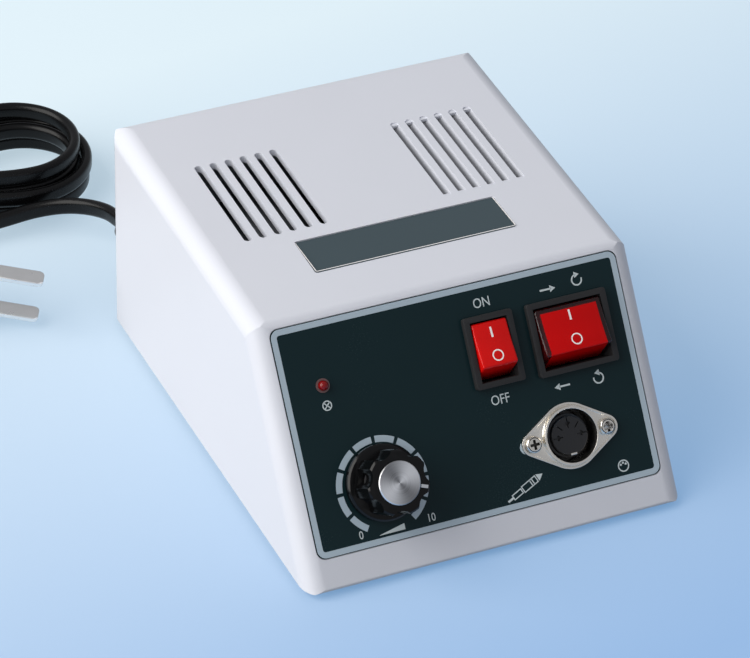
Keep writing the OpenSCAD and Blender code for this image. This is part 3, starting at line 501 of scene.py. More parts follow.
# The cord's route, its hank and its tie, in mm from the place on the rear wall below the gland
CORD_W = 5.2
CORD_T = 3.2
SLEEVE_TIP = (0, 22, 14)
LEAD_ROUTE = [
    (-1.4, 34, 13), (-5, 41.2, 11.2), (-10.5, 46.8, 9.4), (-18, 50, 7.8), (-27, 51, 6.4),
    (-38, 51.4, 5.2), (-50, 51.8, 4.3), (-64, 52.6, 3.8), (-80, 53.6, 3.8),
]
TAIL_ROUTE = [
    (-73, 68.6, 17.8), (-83, 73.4, 21), (-92, 75.6, 22.2), (-101.75, 73, 22.2),
    (-108.9, 65.8, 22), (-111.5, 56, 21.8), (-109, 46.3, 21.4),
]
HANK_MIDDLE = (-57.5, 75.5)
HANK_RUN = 90
HANK_FOLD = 15.8
HANK_LEAN = 0.25
HANK_STEP = 3.9
HANK_RISE = 5.9
HANK_FLOOR = 3.8
HANK_WAIST = 10
WAIST_TURN = 0.12
LAYER_TURNS = 1.5
RUN_SHARE = 0.245
HANK_POINTS = 128
TIE_W = 5
TIE_T = 0.6
TIE_REACH = 13.85
TIE_LOW = 0.6
TIE_HIGH = 18.8
TIE_BEND = 3
TIE_HEAD = (7, 6, 3.4)
TIE_HEAD_LIFT = 1.5
TIE_SLOT = 3
TIE_TAIL = (4.4, 11, 0.9)
TIE_TAIL_OUT = 6.5
TIE_TAIL_LIFT = 1.7
TOOTH_START = 3.4
TOOTH_STEP = 0.9
TOOTH_EDGES = 9

# The ribbed sleeves that the gland and the plug have alike, and the gland's neck and lip
SLEEVE_R = 3.4
SLEEVE_RIBS = 6
SLEEVE_GROOVE = 0.9
GLAND_LIP_R = 7.5
GLAND_NECK_R = 5.6
GLAND_SLEEVE_R = 5.2
GLAND_FACE = 2
GLAND_INNER = (-4.7, -2.2)

# The plug: its nose, its heading, and its body's length, thickness and width
PLUG_NOSE = Vector((-49, 11, 12.6))
PLUG_HEADING = math.radians(-27)
PLUG_DIP = math.radians(8)
PLUG_LENGTH = 54
PLUG_BODY = (34, 13, 24)
PLUG_REAR_W = 15
PLUG_ROUND = 3
PLUG_SLEEVE_R = 5
GRIP_START = 8
GRIP_STEP = 1.8
GRIP_GROOVES = 5
GRIP_MARGIN = 0.3
GRIP_DEPTH = 0.6
PLUG_AIM = Vector((
    math.cos(PLUG_HEADING) * math.cos(PLUG_DIP),
    math.sin(PLUG_HEADING) * math.cos(PLUG_DIP),
    -math.sin(PLUG_DIP),
))


def ease(share):
    """A smooth step from 0 to 1."""
    share = min(max(share, 0), 1)
    return share * share * (3 - 2 * share)


def hank_point(turn):
    """The middle of the hank's cord after that many turns, in mm from the gland."""
    start = LAYER_TURNS + WAIST_TURN
    slot = abs((turn - start + 3 * LAYER_TURNS) % (2 * LAYER_TURNS) - LAYER_TURNS)
    layer = sum(ease((turn - start - k * LAYER_TURNS) / RUN_SHARE + 0.5) for k in range(2))
    height = HANK_FLOOR + HANK_RISE * layer
    fold = HANK_FOLD + HANK_STEP * slot
    half = HANK_RUN / 2 - HANK_LEAN * (height - HANK_FLOOR)
    part = turn % 1
    side = 1 if part < 0.5 else -1
    along = (part % 0.5) / RUN_SHARE
    if along < 1:
        x = half * (1 - 2 * along)
        y = HANK_WAIST * math.sin(math.pi * along) ** 2 - fold
    else:
        bend = math.pi * (along - 1) / (0.5 / RUN_SHARE - 1)
        x = -half - fold * math.sin(bend)
        y = -fold * math.cos(bend)
    return Vector((HANK_MIDDLE[0] + side * x, HANK_MIDDLE[1] + side * y, height))


def through(points, steps=8):
    """A smooth line through the points, from the first to the last."""
    points = [Vector(p) for p in points]
    points = [2 * points[0] - points[1]] + points + [2 * points[-1] - points[-2]]
    line = []
    for a, b, c, d in zip(points, points[1:], points[2:], points[3:]):
        for k in range(steps):
            t = k / steps
            bend = (2 * a - 5 * b + 4 * c - d) * t**2 + (3 * b - a - 3 * c + d) * t**3
            line.append(b + (c - a) * t / 2 + bend / 2)
    return line + [points[-2]]


def gland_spot():
    """The place on the rear wall, at floor level, below the middle of the cord's gland."""
    low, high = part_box("cord_gland")
    return Vector(((low.x + high.x) / 2, high.y - SLEEVE_TIP[1] * MM, 0))


def plug_spot():
    """The place of the plug's nose: X along the blades, Z across them."""
    turn = Matrix.Rotation(PLUG_HEADING, 4, "Z") @ Matrix.Rotation(PLUG_DIP, 4, "Y")
    return Matrix.Translation(gland_spot() + PLUG_NOSE * MM) @ turn


def cord_route():
    """The cord's middle line from the gland to the plug, in metres."""
    leftward = Vector((-CORD_W, 0, 0))
    outward = Vector((0, CORD_W, 0))
    tip = Vector(SLEEVE_TIP)
    first_turn = RUN_SHARE
    last_turn = 4 + WAIST_TURN
    count = round((last_turn - first_turn) * HANK_POINTS)
    hank = [hank_point(first_turn + (last_turn - first_turn) * k / count) for k in range(count + 1)]
    plug_tail = PLUG_NOSE - PLUG_LENGTH * PLUG_AIM
    enter = hank[0] - leftward
    leave = hank[-1] + leftward
    lead = [tip] + through([tip + outward] + LEAD_ROUTE + [enter - leftward])
    tail = through([leave + leftward] + TAIL_ROUTE + [plug_tail - CORD_W * PLUG_AIM]) + [plug_tail]
    return [gland_spot() + point * MM for point in lead + [enter] + hank + [leave] + tail]


def ribbed_sleeve(start, end, radius):
    """A tapered strain relief with grooves round it, up to its tip, as (radius, height) points."""
    points = [(radius, start)]
    pitch = (end - start) / (SLEEVE_RIBS + 1)
    for k in range(1, SLEEVE_RIBS + 1):
        for offset, sunk in ((-0.28, 0), (-0.14, 1), (0.14, 1), (0.28, 0)):
            height = start + pitch * (k + offset)
            share = (height - start) / (end - start)
            points.append((radius + (SLEEVE_R - radius) * share - SLEEVE_GROOVE * sunk, height))
    return points + [(SLEEVE_R, end), (0, end)]


def in_mm(points):
    """Points in mm as points in metres."""
    return [tuple(number * MM for number in point) for point in points]


def sheet(width, length):
    """A flat rectangle in mm, open for editing."""
    add("plane", size=1)
    take_all()
    bpy.ops.transform.resize(value=(width * MM, length * MM, 1), center_override=(0, 0, 0))


def bar(width, length, at=(0, 0), turn=0.0):
    """A printed bar."""
    sheet(width, length)
    return at_mm(thicken(ink()), *at, turn)


def outline(width, length, stroke, radius=0.0):
    """A printed outline of a rectangle, with round corners where it has a radius."""
    sheet(width, length)
    take_all()
    if radius:
        bpy.ops.mesh.bevel(offset=radius * MM, segments=8, affect="VERTICES")
        take_all()
    bpy.ops.mesh.inset(thickness=stroke * MM)
    pick("FACE", lambda at: at.length < 0.01 * MM)
    bpy.ops.mesh.delete(type="FACE")
    return thicken(ink())


def ring_mark(radius, stroke, steps=60, gap=None):
    """A printed ring, without the parts whose clockwise angle from the top is in the gap."""
    add("circle", vertices=steps, radius=radius * MM, fill_type="NGON", rotation=(0, 0, math.pi / steps))
    take_all()
    bpy.ops.mesh.inset(thickness=stroke * MM)
    pick(
        "FACE",
        lambda at: at.length < stroke * MM or gap and gap(math.degrees(math.atan2(at.x, at.y))),
    )
    bpy.ops.mesh.delete(type="FACE")
    return thicken(ink())


def wedge(radius, at=(0, 0), turn=0.0, sides=3):
    """A printed triangle, or a dot where it has more sides."""
    add(
        "circle", vertices=sides, radius=radius * MM, fill_type="NGON",
        location=(at[0] * MM, at[1] * MM, 0), rotation=(0, 0, math.radians(turn)),
    )
    return thicken(ink())


def lettering(text, height):
    """Printed letters of that height in mm."""
    bpy.ops.object.select_all(action="DESELECT")
    bpy.ops.object.text_add()
    words = bpy.context.object
    words.data.body = text
    words.data.size = height / CAPITAL_SHARE * MM
    words.data.align_x = "CENTER"
    words.data.align_y = "CENTER"
    words.data.resolution_u = 4
    words.data.extrude = ink() / 2
    bpy.ops.object.convert(target="MESH")
    narrow = Matrix.Diagonal((LETTER_WIDTH, 1, 1, 1))
    return put(bpy.context.object, Matrix.Translation((0, 0, ink() / 2)) @ narrow)


def at_mm(piece, x, y, turn=0.0):
    """Puts a mark at its place in mm, turned by degrees."""
    spot = Matrix.Translation((x * MM, y * MM, 0))
    return put(piece, spot @ Matrix.Rotation(math.radians(turn), 4, "Z"))


# The rockers: tilt at rest, heights over and under the pivot, half lengths and widths
ROCK_TILT = 12
ROCK_MID_H = 8.2
ROCK_DEPTH = 2.0
POWER_HALF = 6.2638
POWER_W = 10.6
DIRECTION_HALF = 6.5671
DIRECTION_W = 20
CORE_W = 17.4
CORE_BACK = 1.1
CORE_PROUD = (0.03, 0.02)
ROCK_DISH = math.tan(math.radians(3))
ROCK_DRAFT = math.tan(math.radians(ROCK_TILT))


def rocker(width, front, back, half, lift=0.0, rounding=0.6):
    """A rocker between its front and back edge, with a hollowed top, in mm from its pivot."""
    top = ROCK_MID_H + lift
    flare = (top + half * ROCK_DISH) * ROCK_DRAFT
    size = (width, back - front, top + ROCK_DEPTH)
    block(size, (0, (front + back) / 2, (top - ROCK_DEPTH) / 2))
    for across in ((0, 1, 0), (0, 0, 1)):
        slice_mesh((0, 0, 0), across)
    for edge in (front, back):
        side = math.copysign(1, edge)
        foot = flare - ROCK_DEPTH * ROCK_DRAFT
        crest = abs(edge) * ROCK_DISH
        for low, high, out, up in ((-0.1, 0.1, flare, 0), (-9, -0.1, foot, 0), (0.1, 99, 0, crest)):
            pick("VERT", lambda at: side * at.y > 0.1 * MM and low * MM < at.z < high * MM)
            move(0, side * out * MM, up * MM)
    pick("EDGE", lambda at: at.z > (top - 0.01) * MM and abs(at.y) < 0.01 * MM and abs(at.x) < 0.01 * MM)
    bpy.ops.mesh.bevel(offset=0.3 * half * MM, segments=8, affect="EDGES")
    piece = close_shape()
    round_edges(piece, rounding * MM, 4)
    return piece


def rocker_marks(name, half):
    """The bar and the ring on a rocker's two ends."""
    for label, mark, y in (
        ("bar", bar(0.58, 2.9), 0.52 * half),
        ("ring", ring_mark(1.65, 0.37, 48), -0.54 * half),
    ):
        height = ROCK_MID_H + abs(y) * ROCK_DISH - 0.01
        slope = Matrix.Rotation(math.copysign(math.atan(ROCK_DISH), y), 4, "X")
        put(mark, Matrix.Translation((0, y * MM, height * MM)) @ slope)
        put(mark, joint_spot(f"{name}_rock", -ROCK_TILT))
        settle(mark, f"{name}_mark_{label}", f"{name}_rocker", f"{name}_red", paint="legend_white")


class MicromotorLooks(bpy.types.PropertyGroup):
    """Colours of the box."""

    housing: FloatVectorProperty(
        name="Housing", description="Colour of the moulded housing", subtype="COLOR", size=3,
        default=tone(209, 211, 219)[:3], min=0, max=1,
    )
    overlay: FloatVectorProperty(
        name="Overlay", description="Colour of the front panel's film", subtype="COLOR", size=3,
        default=tone(18, 38, 42)[:3], min=0, max=1,
    )
    border: FloatVectorProperty(
        name="Border", description="Colour of the printed border and of the speed scale", subtype="COLOR",
        size=3, default=tone(170, 186, 197)[:3], min=0, max=1,
    )
    label: FloatVectorProperty(
        name="Labels", description="Colour of the printed labels", subtype="COLOR", size=3,
        default=tone(196, 206, 208)[:3], min=0, max=1,
    )
    plate: FloatVectorProperty(
        name="Name plate", description="Colour of the bare plate on the top", subtype="COLOR", size=3,
        default=tone(56, 71, 77)[:3], min=0, max=1,
    )


class MicromotorSizes(bpy.types.PropertyGroup):
    """Sizes of the panel's print and of the knob's cap."""

    ink: FloatProperty(
        name="Ink", description="Thickness of the printed marks", subtype="DISTANCE", unit="LENGTH",
        default=0.04 * MM, min=0.01 * MM, max=0.2 * MM, precision=6,
    )
    border: FloatProperty(
        name="Border", description="Width of the printed border", subtype="DISTANCE", unit="LENGTH",
        default=1.65 * MM, min=0.3 * MM, max=4 * MM, precision=5,
    )
    letters: FloatProperty(
        name="Letters", description="Height of the capital letters", subtype="DISTANCE", unit="LENGTH",
        default=2.7 * MM, min=1 * MM, max=4 * MM, precision=5,
    )
    scale: FloatProperty(
        name="Speed scale", description="Outer radius of the speed scale", subtype="DISTANCE", unit="LENGTH",
        default=13.45 * MM, min=12.5 * MM, max=15 * MM, precision=5,
    )
    cap: FloatProperty(
        name="Knob cap", description="Radius of the knob's aluminium cap", subtype="DISTANCE", unit="LENGTH",
        default=6 * MM, min=4 * MM, max=6.2 * MM, precision=5,
    )


# The stage: floor from pale at the back left to deep at the front right, sky, lamps and camera
FLOOR_STOPS = [(0.0, tone(223, 239, 247)), (1.0, tone(151, 186, 228))]
FLOOR_MIDDLE = 0.59
FLOOR_RIGHTWARD = 0.3
FLOOR_FORWARD = 3.0
FLOOR_LIT = {"Saturation": 0.4, "Value": 0.39}
FLOOR_LIGHT = 0.95
SKY_COLOUR = (0.95, 0.98, 1.05, 1.0)
SKY_STRENGTH = 0.41
LAMPS = (
    ("left_lamp", (-1.21, 0.1, 0.84), 31.5, (1.0, 0.985, 0.95)),
    ("front_lamp", (-0.5, -1.3, 0.35), 0.8, (1.0, 1.0, 1.0)),
)
LAMP_SIZE = 1.6
LAMP_AIM = Vector((0, 0, 0.03))
CAMERA_AT = Vector((-427.25, -908.77, 737.28))
CAMERA_TURN = (54.6786, -1.2885, -24.0543)
CAMERA_LENS = 208.73
CAMERA_SENSOR = 36


class MICROMOTOR_OT_stage(bpy.types.Operator):
    """Adds the floor, the lamps and the camera"""

    bl_idname = "micromotor.stage"
    bl_label = "Stage"

    def execute(self, context):
        scene = context.scene
        scene.view_settings.view_transform = "Standard"
        bpy.ops.object.select_all(action="DESELECT")
        bpy.ops.mesh.primitive_plane_add(size=8)
        floor = context.object
        floor.name = "floor"
        paint = Paint("floor")
        across = paint.node("ShaderNodeSeparateXYZ", {}, {0: paint.place()}, 0)
        back = paint.node("ShaderNodeSeparateXYZ", {}, {0: paint.place()}, 1)
        blend = FLOOR_MIDDLE + across * FLOOR_RIGHTWARD - back * FLOOR_FORWARD
        shade = paint.node("ShaderNodeValToRGB", {"stops": FLOOR_STOPS}, {"Fac": blend})
        seen = 0.0
        for ray in ("Camera", "Glossy", "Transmission"):
            kind = paint.node("ShaderNodeLightPath", out=f"Is {ray} Ray")
            seen = kind.math("MAXIMUM", seen, kind)
        base = paint.node("ShaderNodeHueSaturation", {}, {**FLOOR_LIT, "Color": shade})
        settings = {"data_type": "RGBA", "blend_type": "SUBTRACT"}
        rest = paint.node("ShaderNodeMix", settings, {0: FLOOR_LIGHT, 6: shade, 7: base}, 2)
        glow = paint.mix(seen, (0, 0, 0, 1), rest)
        floor.data.materials.append(
            paint.surface(Base_Color=base, Roughness=0.9, Emission_Color=glow, Emission_Strength=1.0)
        )

        world = bpy.data.worlds.new("studio")
        world.use_nodes = True
        light = world.node_tree.nodes["Background"].inputs
        light["Color"].default_value = SKY_COLOUR
        light["Strength"].default_value = SKY_STRENGTH
        scene.world = world
        for name, spot, power, colour in LAMPS:
            lamp = bpy.data.lights.new(name, "AREA")
            lamp.energy = power
            lamp.size = LAMP_SIZE
            lamp.color = colour
            stand = bpy.data.objects.new(name, lamp)
            scene.collection.objects.link(stand)
            stand.location = spot
            stand.rotation_euler = (LAMP_AIM - Vector(spot)).to_track_quat("-Z", "Y").to_euler()

        view = bpy.data.cameras.new("camera")
        view.sensor_width = CAMERA_SENSOR
        view.lens = CAMERA_LENS
        view.clip_end = 20
        stand = bpy.data.objects.new("camera", view)
        scene.collection.objects.link(stand)
        stand.location = CAMERA_AT * MM
        stand.rotation_euler = [math.radians(angle) for angle in CAMERA_TURN]
        scene.camera = stand
        return {"FINISHED"}


class MICROMOTOR_OT_gland(bpy.types.Operator):
    """Turns the ribbed strain relief where the cord leaves the box"""

    bl_idname = "micromotor.gland"
    bl_label = "Cord gland"

    def execute(self, context):
        back, front = GLAND_INNER
        inner = [(0, back), (GLAND_LIP_R, back), (GLAND_LIP_R, front), (GLAND_NECK_R, front)]
        outer = [(GLAND_NECK_R, 0), (GLAND_LIP_R, 0), (GLAND_LIP_R, GLAND_FACE)]
        sleeve = ribbed_sleeve(GLAND_FACE, SLEEVE_TIP[1], GLAND_SLEEVE_R)
        piece = lathe(in_mm(inner + outer + sleeve), 48)
        round_edges(piece, 0.25 * MM, 2)
        rear = gland_spot() + Vector((0, 0, SLEEVE_TIP[2] * MM))
        put(piece, Matrix.Translation(rear) @ Matrix.Rotation(-math.pi / 2, 4, "X"))
        settle(piece, "gland", "housing", "cord_rubber", ["cord_gland"])
        return {"FINISHED"}


class MICROMOTOR_OT_plug(bpy.types.Operator):
    """Moulds the plug's body with its grip and ribbed sleeve, and rounds its blades"""

    bl_idname = "micromotor.plug"
    bl_label = "Plug"

    def execute(self, context):
        long, thick, wide = PLUG_BODY
        block(PLUG_BODY, (-long / 2, 0, 0))
        pick("FACE", lambda at: at.x < (1 - long) * MM)
        narrow = (1, 1, PLUG_REAR_W / wide)
        bpy.ops.transform.resize(value=narrow, center_override=(-long * MM, 0, 0))
        take_all()
        bpy.ops.mesh.bevel(offset=PLUG_ROUND * MM, segments=5, affect="EDGES")
        for k in range(2 * GRIP_GROOVES + 1):
            slice_mesh(((-GRIP_START - GRIP_STEP * k) * MM, 0, 0), (1, 0, 0))
        strips = [-GRIP_START - GRIP_STEP * (2 * k + 0.5) for k in range(GRIP_GROOVES)]

        def in_grip(at):
            """Whether a face is one of the strips on the plug's two flat sides."""
            near = any(abs(at.x / MM - strip) < GRIP_STEP / 3 for strip in strips)
            return near and abs(at.y) > (thick / 2 - 0.05) * MM

        pick("FACE", in_grip)
        groove(GRIP_MARGIN, GRIP_DEPTH)
        body = close_shape()
        root = [(0, long - 1), (PLUG_SLEEVE_R, long - 1)]
        sleeve = lathe(in_mm(root + ribbed_sleeve(long, PLUG_LENGTH, PLUG_SLEEVE_R)), 48)
        round_edges(sleeve, 0.25 * MM, 2)
        put(sleeve, Matrix.Rotation(-math.pi / 2, 4, "Y"))
        piece = put(joined(body, sleeve), plug_spot())
        settle(piece, "plug", "housing", "plug_rubber", ["plug_body"])
        blades = node_copy("plug_blades")
        round_edges(blades, 0.35 * MM, 3)
        settle(blades, "blades", "housing", "blade_nickel", ["plug_blades"])
        return {"FINISHED"}


class MICROMOTOR_OT_tie(bpy.types.Operator):
    """Straps the hank with a tie: a band, a head with a slot, and a tail with teeth"""

    bl_idname = "micromotor.tie"
    bl_label = "Cord tie"

    def execute(self, context):
        middle_z = (TIE_LOW + TIE_HIGH) / 2
        sheet(2 * TIE_REACH, TIE_HIGH - TIE_LOW)
        take_all()
        bpy.ops.mesh.bevel(offset=TIE_BEND * MM, segments=6, affect="VERTICES")
        take_all()
        bpy.ops.mesh.delete(type="ONLY_FACE")
        take_all()
        move(0, 0, -TIE_W / 2 * MM)
        pull(0, 0, TIE_W * MM)
        band = close_shape()
        modify(band, "SOLIDIFY", thickness=TIE_T * MM, offset=1.0)
        round_edges(band, 0.15 * MM, 2)
        across = Matrix.Rotation(math.pi / 2, 4, "Z") @ Matrix.Rotation(math.pi / 2, 4, "X")
        put(band, across)

        roof = TIE_HIGH + TIE_T - middle_z
        block(TIE_HEAD, (0, 0, roof + TIE_HEAD_LIFT))
        pick("FACE", lambda at: at.y > (TIE_HEAD[1] / 2 - 0.1) * MM)
        bpy.ops.mesh.inset(thickness=0.8 * MM)
        pull(0, -TIE_SLOT * MM, 0)
        head = close_shape()
        round_edges(head, 0.35 * MM, 2)

        block(TIE_TAIL, (0, TIE_TAIL_OUT, roof + TIE_TAIL_LIFT))
        for k in range(TOOTH_EDGES):
            slice_mesh((0, (TOOTH_START + TOOTH_STEP * k) * MM, 0), (0, 1, 0))
        upper = roof + TIE_TAIL_LIFT + TIE_TAIL[2] / 2
        pick("FACE", lambda at: at.z > (upper - 0.05) * MM)
        groove(0.2, 0.2)
        tail = close_shape()
        round_edges(tail, 0.08 * MM, 1)

        piece = joined(band, head, tail)
        hank = Vector((HANK_MIDDLE[0] * MM, HANK_MIDDLE[1] * MM, middle_z * MM))
        put(piece, Matrix.Translation(gland_spot() + hank))
        settle(piece, "tie", "housing", "cord_rubber", ["cord_tie"])
        return {"FINISHED"}


class MICROMOTOR_OT_cord(bpy.types.Operator):
    """Lays the flat mains cord on edge from the gland, through its hank, to the plug"""

    bl_idname = "micromotor.cord"
    bl_label = "Mains cord"

    def execute(self, context):
        route = cord_route()
        curve = bpy.data.curves.new("mains_cord", "CURVE")
        curve.dimensions = "3D"
        curve.twist_mode = "Z_UP"
        curve.bevel_depth = CORD_T / 2 * MM
        curve.extrude = (CORD_W - CORD_T) / 2 * MM
        curve.bevel_resolution = 5
        curve.use_fill_caps = True
        spline = curve.splines.new("POLY")
        spline.points.add(len(route) - 1)
        for point, spot in zip(spline.points, route):
            point.co = (*spot, 1.0)
        spline.use_smooth = True
        cord = bpy.data.objects.new("mains_cord", curve)
        context.scene.collection.objects.link(cord)
        curve.materials.append(finish("cord_rubber"))
        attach(cord, "housing")
        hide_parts("cord_lead", "cord_hank", "cord_tail")
        length = sum((b - a).length for a, b in zip(route, route[1:]))
        return {"FINISHED"}


# The panel's print: sizes of the border, the scale and the marks, and the marks' places on the panel
BORDER_SIZE = (103.3, 63.05)
BORDER_R = 2.45
INK_SINK = 0.01 * MM
# width of the pale strips painted as a highlight along the name plate's edges
PLATE_HIGHLIGHT_W = 0.25
SCALE_SHIFT = (0.28, -0.75)
SCALE_W = 1.8
SCALE_END = 149
SCALE_STEP = 30
SCALE_GAP = 2
SPOT_SHIFT = (-SCREW_REACH - 1.7, -0.3)
SPOT_R = 2.0
DIGIT_H = 2.2
WORDS = (("ON", 9.95, 25.8), ("OFF", 9.4, -1.2))
DIGITS = (("0", -38.4, -27.9), ("10", -17.6, -27.9))
TURNS_AT = ((38.9, 25.9, 1), (39.2, -1.85, -1))
TURN_R = 1.65
TURN_HEAD_AT = 1.45
ARROWS_AT = ((29.2, 25.2, 1), (28.8, -1.7, -1))
ARROW_SIZE = (3.4, 0.5)
LAMP_MARK_AT = (-40, 8.5)
LAMP_MARK_R = 1.4
SOCKET_MARK_AT = (41, -27.2)
SOCKET_MARK_R = 1.7
SOCKET_DOTS = (0.5, 1.57, 2.64)
SOCKET_DOTS_R = 0.85
RISE_AT = (-29.4, -28.3)
RISE_SIZE = (7.6, 1.7)
RISE_TIP = 0.1
HANDPIECE_AT = (12.6, -25.7, 25)
FINE_LINE = 0.3


class MICROMOTOR_OT_print(bpy.types.Operator):
    """Prints the front panel's border, speed scale and marks"""

    bl_idname = "micromotor.print"
    bl_label = "Panel print"

    def execute(self, context):
        sizes = context.scene.micromotor_sizes
        border = outline(*BORDER_SIZE, sizes.border / MM, BORDER_R)
        self.print_on(border, "panel_border", "panel_print")
        scale = ring_mark(
            sizes.scale / MM, SCALE_W, 240,
            lambda angle: abs(angle) > SCALE_END
            or abs((angle + SCALE_STEP / 2) % SCALE_STEP - SCALE_STEP / 2) < SCALE_GAP,
        )
        spot = wedge(SPOT_R, sides=32)
        self.print_on(spot, "socket_spot", "panel_print", SOCKET_AT, SPOT_SHIFT)
        self.print_on(scale, "speed_scale", "panel_print", KNOB_AT, SCALE_SHIFT)
        marks = self.lettered(sizes.letters / MM) + self.arrows() + self.symbols()
        self.print_on(joined(*marks), "panel_marks", "label_print")
        return {"FINISHED"}

    def print_on(self, mark, name, paint, at=(0, 0), shift=(0, 0)):
        """Prints a mark on the film, at a place on the panel and a shift from it."""
        spot = panel_spot(at[0] + shift[0], at[1] + shift[1], -INK_SINK)
        settle(put(mark, spot), name, "housing", "overlay_film", paint=paint)

    def lettered(self, capital):
        """The words beside the power switch and the numbers at the ends of the speed scale."""
        heights = [(WORDS, capital), (DIGITS, DIGIT_H)]
        return [at_mm(lettering(text, height), x, y) for row, height in heights for text, x, y in row]

    def arrows(self):
        """The turning and the straight arrows beside the direction switch."""
        marks = []
        for x, y, way in TURNS_AT:
            head = at_mm(wedge(1.0), 0, TURN_HEAD_AT, -90 * way)
            arc = ring_mark(TURN_R, 0.4, 40, lambda angle: 0 < angle * way < 80)
            marks.append(at_mm(joined(arc, head), x, y))
        for x, y, way in ARROWS_AT:
            head = wedge(1.1, (ARROW_SIZE[0] / 2 + 0.2, 0), -90)
            marks.append(at_mm(joined(bar(*ARROW_SIZE), head), x, y, 90 - 90 * way))
        return marks

    def symbols(self):
        """The symbols of the lamp, the socket, the rising speed and the handpiece."""
        cross = [bar(FINE_LINE, 2.5, turn=turn) for turn in (45, -45)]
        lamp = at_mm(joined(ring_mark(LAMP_MARK_R, FINE_LINE, 40), *cross), *LAMP_MARK_AT)
        spots = [(SOCKET_DOTS_R * math.cos(a), SOCKET_DOTS_R * math.sin(a)) for a in SOCKET_DOTS]
        dots = [wedge(0.32, spot, 0, 12) for spot in spots]
        socket = at_mm(joined(ring_mark(SOCKET_MARK_R, 0.35, 40), *dots), *SOCKET_MARK_AT)
        sheet(*RISE_SIZE)
        pick("VERT", lambda at: at.x < 0 and at.y > 0)
        move(0, (RISE_TIP - RISE_SIZE[1]) * MM, 0)
        rise = at_mm(thicken(ink()), *RISE_AT)
        handpiece = [
            outline(5.2, 2.2, FINE_LINE), at_mm(outline(3.4, 1.7, FINE_LINE), -4.5, 0),
            at_mm(wedge(1.25, turn=-90), 3.5, 0), bar(1.8, 0.6, (-7.1, 0)),
            bar(FINE_LINE, 2.0, (1.2, 0)), bar(FINE_LINE, 2.0, (0.5, 0)),
        ]
        return [lamp, socket, rise, at_mm(joined(*handpiece), *HANDPIECE_AT)]


class MICROMOTOR_OT_rockers(bpy.types.Operator):
    """Moulds the two rockers and their marks"""

    bl_idname = "micromotor.rockers"
    bl_label = "Rockers"

    def execute(self, context):
        half = POWER_HALF
        power = put(rocker(POWER_W, -half, half, half), joint_spot("power_rock", -ROCK_TILT))
        settle(power, "power_key", "power_rocker", "power_red", ["power_rocker"])
        rocker_marks("power", half)

        half = DIRECTION_HALF
        spot = joint_spot("direction_rock", -ROCK_TILT)
        shell = put(rocker(DIRECTION_W, -half, half, half), spot)
        settle(
            shell, "direction_shell", "direction_rocker", "direction_red", ["direction_rocker"],
            paint="smoked_clear",
        )
        ahead, lift = CORE_PROUD
        core = put(rocker(CORE_W, -half - ahead, half - CORE_BACK, half, lift, 0.3), spot)
        settle(core, "direction_core", "direction_rocker", "direction_red")
        rocker_marks("direction", half)
        return {"FINISHED"}


class MICROMOTOR_OT_plate(bpy.types.Operator):
    """Paints a highlight along the bare name plate's rim as pale strips on its front and its two sides"""

    bl_idname = "micromotor.plate"
    bl_label = "Name plate"

    def execute(self, context):
        low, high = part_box("name_plate")
        size = (high - low) / MM
        wide, deep = size.x - PLATE_HIGHLIGHT_W, size.y - PLATE_HIGHLIGHT_W
        # painted highlight: pale strips on the front and side edges, none on the rear
        sides = [bar(PLATE_HIGHLIGHT_W, size.y, (side * wide / 2, 0)) for side in (-1, 1)]
        rim = joined(bar(size.x, PLATE_HIGHLIGHT_W, (0, -deep / 2)), *sides)
        face = Vector(((low.x + high.x) / 2, (low.y + high.y) / 2, high.z - INK_SINK))
        settle(
            put(rim, Matrix.Translation(face)), "plate_painted_highlight", "housing", "plate_film", paint="legend_white"
        )
        return {"FINISHED"}


class MICROMOTOR_OT_frames(bpy.types.Operator):
    """Rounds the edges of the two switch frames"""

    bl_idname = "micromotor.frames"
    bl_label = "Switch frames"

    def execute(self, context):
        for node in ("power_switch_frame", "direction_switch_frame"):
            piece = node_copy(node)
            round_edges(piece, 0.3 * MM, 3)
            settle(piece, node + "_rounded", "housing", "frame_plastic", [node])
        return {"FINISHED"}


# The knob's cap: heights over the panel, its plain rim and bevelled edge, and the rings turned in it
CAP_TOP = 14.6
CAP_FOOT = 13.6
CAP_RIM = 0.3
CAP_EDGE = 0.22
RING_PITCH = 0.075
RING_DEPTH = 0.006


class MICROMOTOR_OT_knob(bpy.types.Operator):
    """Rounds the knob's edges and turns its aluminium cap"""

    bl_idname = "micromotor.knob"
    bl_label = "Speed knob"

    def execute(self, context):
        grip = node_copy("knob_body")
        round_edges(grip, 0.22 * MM, 3)
        settle(grip, "knob_grip", "speed_knob", "knob_plastic", ["knob_body"], smooth=40)

        radius = context.scene.micromotor_sizes.cap / MM
        rings = int((radius - CAP_RIM) / RING_PITCH) + 1
        turned = [(RING_PITCH * k, CAP_TOP - RING_DEPTH * (k % 2)) for k in range(rings)]
        edge = [(radius - CAP_EDGE, CAP_TOP), (radius, CAP_TOP - CAP_EDGE)]
        profile = turned + edge + [(radius, CAP_FOOT), (0, CAP_FOOT)]
        cap = put(lathe(in_mm(profile), 96), joint_spot("speed_turn"))
        settle(
            cap, "knob_disc", "speed_knob", "knob_aluminium", ["knob_cap"], "spun_aluminium", smooth=8
        )
        return {"FINISHED"}


